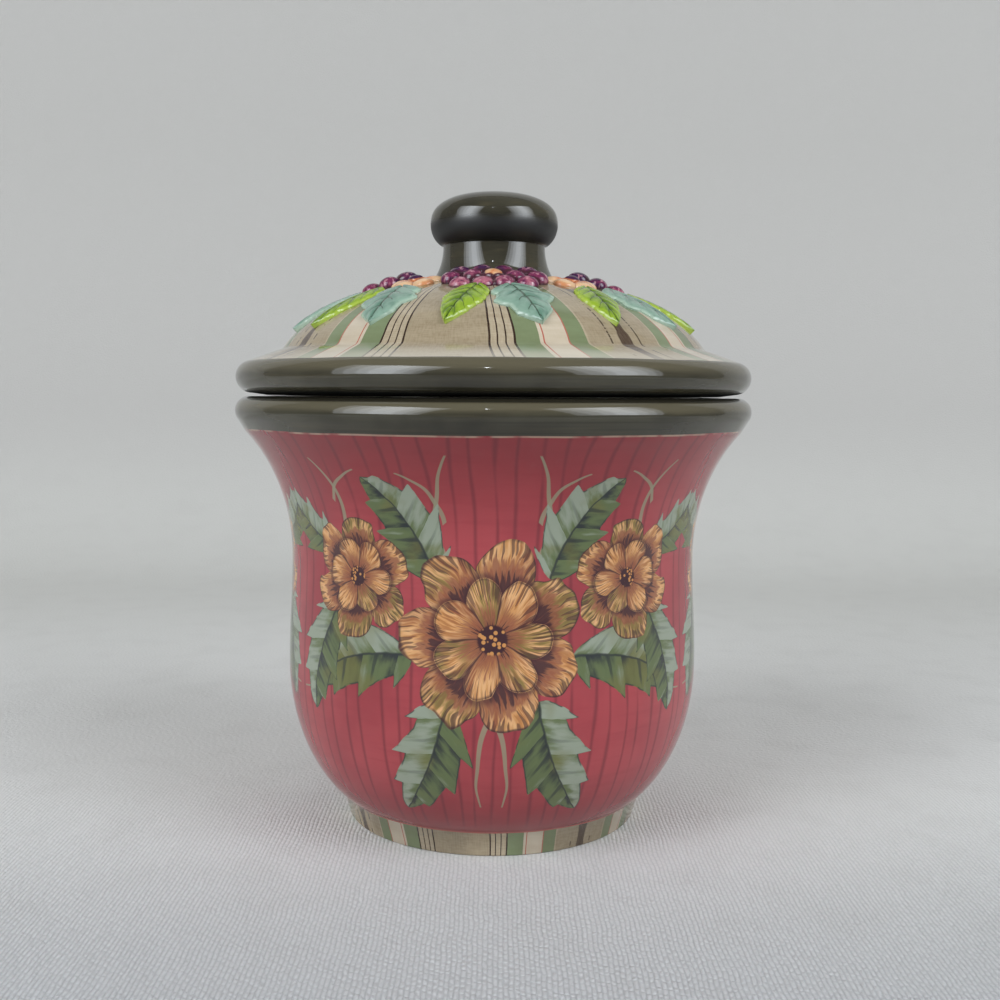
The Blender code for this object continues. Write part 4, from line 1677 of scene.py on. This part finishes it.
    def leaf_finish(self, kind: LeafForm) -> Material:
        """A leaf's glaze: deep in the middle, pale at the raised edge, its veins drawn in ink.

        Args:
            kind: The kind of leaf.

        Returns:
            The material.
        """
        finish = Finish("leaf_" + kind.name, self.effects, GLOSS)
        light, deep, rim = kind.paints
        share, across, _ = finish.take("UVMap", 0, uv_map="leaf").split()
        out_by = abs(across - 0.5) * 2.0
        slant = out_by * -self.vein_slant + share * kind.veins
        off = abs((slant + 4.0).fract() - 0.5)
        cloud = finish.spot.noise(260.0, 3.0)
        tone = off * -0.35 + (out_by * -0.35 + cloud * 0.9 + 0.1)
        width = out_by * -0.05 + 0.075
        drawn = (cloud * 0.2 + out_by).fade(kind.vein_reach + 0.12, kind.vein_reach)
        vein = off.fade(width, width * 0.35) * drawn
        rib = out_by.fade(0.06, 0.025) * share.fade(0.93, 0.85)
        return finish.finish(tone.fade(0.12, 0.5).mix(light, deep).under(
            ((cloud * 0.16 + out_by).fade(0.9, 1.04) * 0.7, rim),
            (vein.most(rib) * 0.72, Paint.LEAF_INK),
        ))

    def leaf_pair(self, place: str, bearing: float, glazes: dict[str, Material]) -> None:
        """A lime leaf and a teal leaf that spread outwards, one to each side of a bearing.

        Args:
            place: The side or corner in their nodes' names.
            bearing: The bearing, in degrees.
            glazes: The leaves' materials, by kind.
        """
        for kind in LEAF_FORMS:
            node = f"{kind.name}_leaf_{place}"
            where = bearing + kind.hand * self.leaf_beside
            piece = self.leaf("sprig_" + node, where, kind, glazes[kind.name])
            settle(piece, "lid", kind.name + "_glaze", node)

    def build(self) -> None:
        """Builds the sprigs, dresses them and puts them on the lid's body."""
        plum, peach = self.berry_finish(), self.petal_finish()
        glazes = {kind.name: self.leaf_finish(kind) for kind in LEAF_FORMS}
        step = 360 / len(self.sides)
        for i, (side, corner) in enumerate(zip(self.sides, self.corners)):
            bearing = -90 + step * i
            piece = self.fused(
                "sprig_berries_" + side, *self.berries(), self.berries_at, bearing, plum
            )
            settle(piece, "lid", "plum_glaze", "berries_" + side)
            piece = self.fused(
                "sprig_blossom_" + side, *self.blossom(), self.blossom_at, bearing + step / 2, peach
            )
            settle(piece, "lid", "peach_glaze", "blossom_" + side)
            self.leaf_pair(side, bearing, glazes)
            self.leaf_pair(corner, bearing + step / 2, glazes)


@dataclass
class Studio:
    """The pale sweep, the two window lights, the soft fill and the camera."""

    floor_half: float = 1.6
    back_y: float = 0.75
    back_height: float = 1.5
    sweep_r: float = 0.35
    eye: Size = (0.0, -0.3541, 0.1252)
    pitch: float = 5.23
    roll: float = 0.3
    lens: float = 42.83
    sensor: float = 36.0
    shift_x: float = 0.0072
    aim: Size = (0.0, 0.0, 0.11)
    tint: Size = (0.89, 0.94, 1.0)
    windows: tuple[tuple[str, float, float], ...] = (("left", -50.0, 1.02), ("right", 54.0, 0.95))
    window_elevation: float = 27.0
    window_distance: float = 2.2
    window_size: Point = (1.7, 1.95)
    window_power: float = 18.0
    lamp_at: Point = (-3.0, 44.0)
    lamp_side: float = 0.04
    lamp_power: float = 0.5
    fill: float = 0.2
    fill_colour: Colour = (1.0, 0.99, 0.96, 1.0)
    pane_widths: tuple[float, ...] = (1.3, 0.85, 0.42)
    pane_height: float = 1.8
    pane_power: float = 9.0
    pane_gap: float = 0.02
    rib_pitch: float = 1.15 * MM
    knot_pitch: float = 2.6 * MM

    def sweep(self) -> None:
        """A pale cloth floor that curves up behind into the backdrop."""
        form = bmesh.new()
        line = [(-self.floor_half, 0.0), (0.2, 0.0)]
        line += arc((self.back_y - self.sweep_r, self.sweep_r), (self.sweep_r,) * 2, -90, 0, 24)
        line.append((self.back_y, self.back_height))
        corners = [form.verts.new((-self.floor_half, y, z)) for y, z in line]
        edges = [form.edges.new(pair) for pair in zip(corners, corners[1:])]
        pulled = bmesh.ops.extrude_edge_only(form, edges=edges)
        far = [item for item in pulled["geom"] if isinstance(item, bmesh.types.BMVert)]
        bmesh.ops.translate(form, verts=far, vec=(2 * self.floor_half, 0, 0))
        bmesh.ops.recalc_face_normals(form, faces=form.faces)
        if sum(face.normal.z for face in form.faces) < 0:
            bmesh.ops.reverse_faces(form, faces=form.faces)
        piece = as_piece("studio_sweep", form, [self.cloth()])

    def cloth(self) -> Material:
        """Soft pale cloth: matt, with fine knotted ribs that run towards the back.

        Returns:
            The material.
        """
        surface = Surface("studio_cloth")
        spot, (across, away, up) = surface.spot, surface.axes
        nap, cloud, uneven = spot.noise(700.0, 3.0), spot.noise(45.0, 4.0), spot.noise(90.0, 2.0)
        ribs = uneven * 1.1 + across / self.rib_pitch
        knots = ribs.floor() * 0.37 + away / self.knot_pitch
        knots = spot.noise(420.0, 1.0) * 1.6 + knots
        knot = abs((knots * math.pi).sine())
        relief = abs((ribs * math.pi).sine()) * (knot * 0.75 + 0.25)
        near = away.fade(0.06, -0.1)
        colour = away.fade(-0.16, 0.02).mix(Paint.CLOTH, Paint.NEAR_CLOTH).under(
            (away.fade(0.06, 0.4), Paint.FAR_CLOTH),
            (away.fade(-0.35, -0.8), Paint.DIM_CLOTH),
            (up.fade(0.0, 0.12), Paint.WALL),
            (cloud.fade(0.45, 0.7) * 0.12, Paint.WALL),
            # Painted shade in the grooves between the ribs, on the floor near the canister.
            (relief.fade(0.6, 0.1) * near * 0.3, Paint.GROOVE_SHADE),
        )
        return surface.close(colour, 0.9, nap * 0.8 + relief * near, 0.6, 0.5 * MM)

    def window(self, name: str, at: Point, power: float, size: Point, nearer: float = 0.0) -> None:
        """A rectangular light that faces the canister from the camera's side.

        Args:
            name: The light's name.
            at: Degrees to the right of the camera's side and above the middle of the canister.
            power: Its power in watts.
            size: Its width and height.
            nearer: How much nearer it stands than the windows.
        """
        lamp = bpy.data.lights.new(name, "AREA")
        lamp.shape = "RECTANGLE"
        lamp.size, lamp.size_y = size
        lamp.energy = power
        lamp.color = self.tint
        holder = linked(name, lamp)
        a, e = (math.radians(angle) for angle in at)
        out = Vector((math.sin(a) * math.cos(e), -math.cos(a) * math.cos(e), math.sin(e)))
        holder.location = Vector(self.aim) + out * (self.window_distance - nearer)
        holder.rotation_euler = out.to_track_quat("Z", "Y").to_euler()

    def camera(self) -> None:
        """The camera, at the height and angle of the photograph."""
        data = bpy.data.cameras.new("camera")
        data.lens = self.lens
        data.sensor_width = self.sensor
        data.shift_x = self.shift_x
        holder = linked("camera", data)
        tilt = Matrix.Rotation(math.radians(90 - self.pitch), 4, "X")
        roll = Matrix.Rotation(math.radians(self.roll), 4, "Z")
        holder.matrix_world = Matrix.Translation(self.eye) @ tilt @ roll
        bpy.context.scene.camera = holder

    def build(self) -> None:
        """Sets the sweep, the lights, the world and the camera."""
        self.sweep()
        for side, azimuth, share in self.windows:
            at = (azimuth, self.window_elevation)
            self.window(f"window_{side}", at, share * self.window_power, self.window_size)
            for step, width in enumerate(self.pane_widths, 1):
                at, size = (azimuth + step, self.window_elevation), (width, self.pane_height)
                power = share * self.pane_power * width
                self.window(f"pane_{side}_{step}", at, power, size, step * self.pane_gap)
        self.window("lamp_above", self.lamp_at, self.lamp_power, (self.lamp_side, self.lamp_side))
        world = bpy.data.worlds.new("studio_fill")
        world.use_nodes = True
        light = world.node_tree.nodes["Background"]
        light.inputs["Color"].default_value = self.fill_colour
        light.inputs["Strength"].default_value = self.fill
        bpy.context.scene.world = world
        bpy.context.scene.view_settings.view_transform = "Standard"
        self.camera()
        log.info("studio set")


def main() -> None:
    """Builds the canister and the studio."""
    logging.basicConfig(level=logging.INFO, format="%(name)s: %(message)s")
    effects = Effects()
    crown = Crown()
    turned = (Jar(effects), Lid(effects, crown), Knob(effects, crown), Seal(effects, crown))
    for part in (*turned, Wreath(effects, crown)):
        part.build()
    Studio().build()


if __name__ == "__main__":
    main()
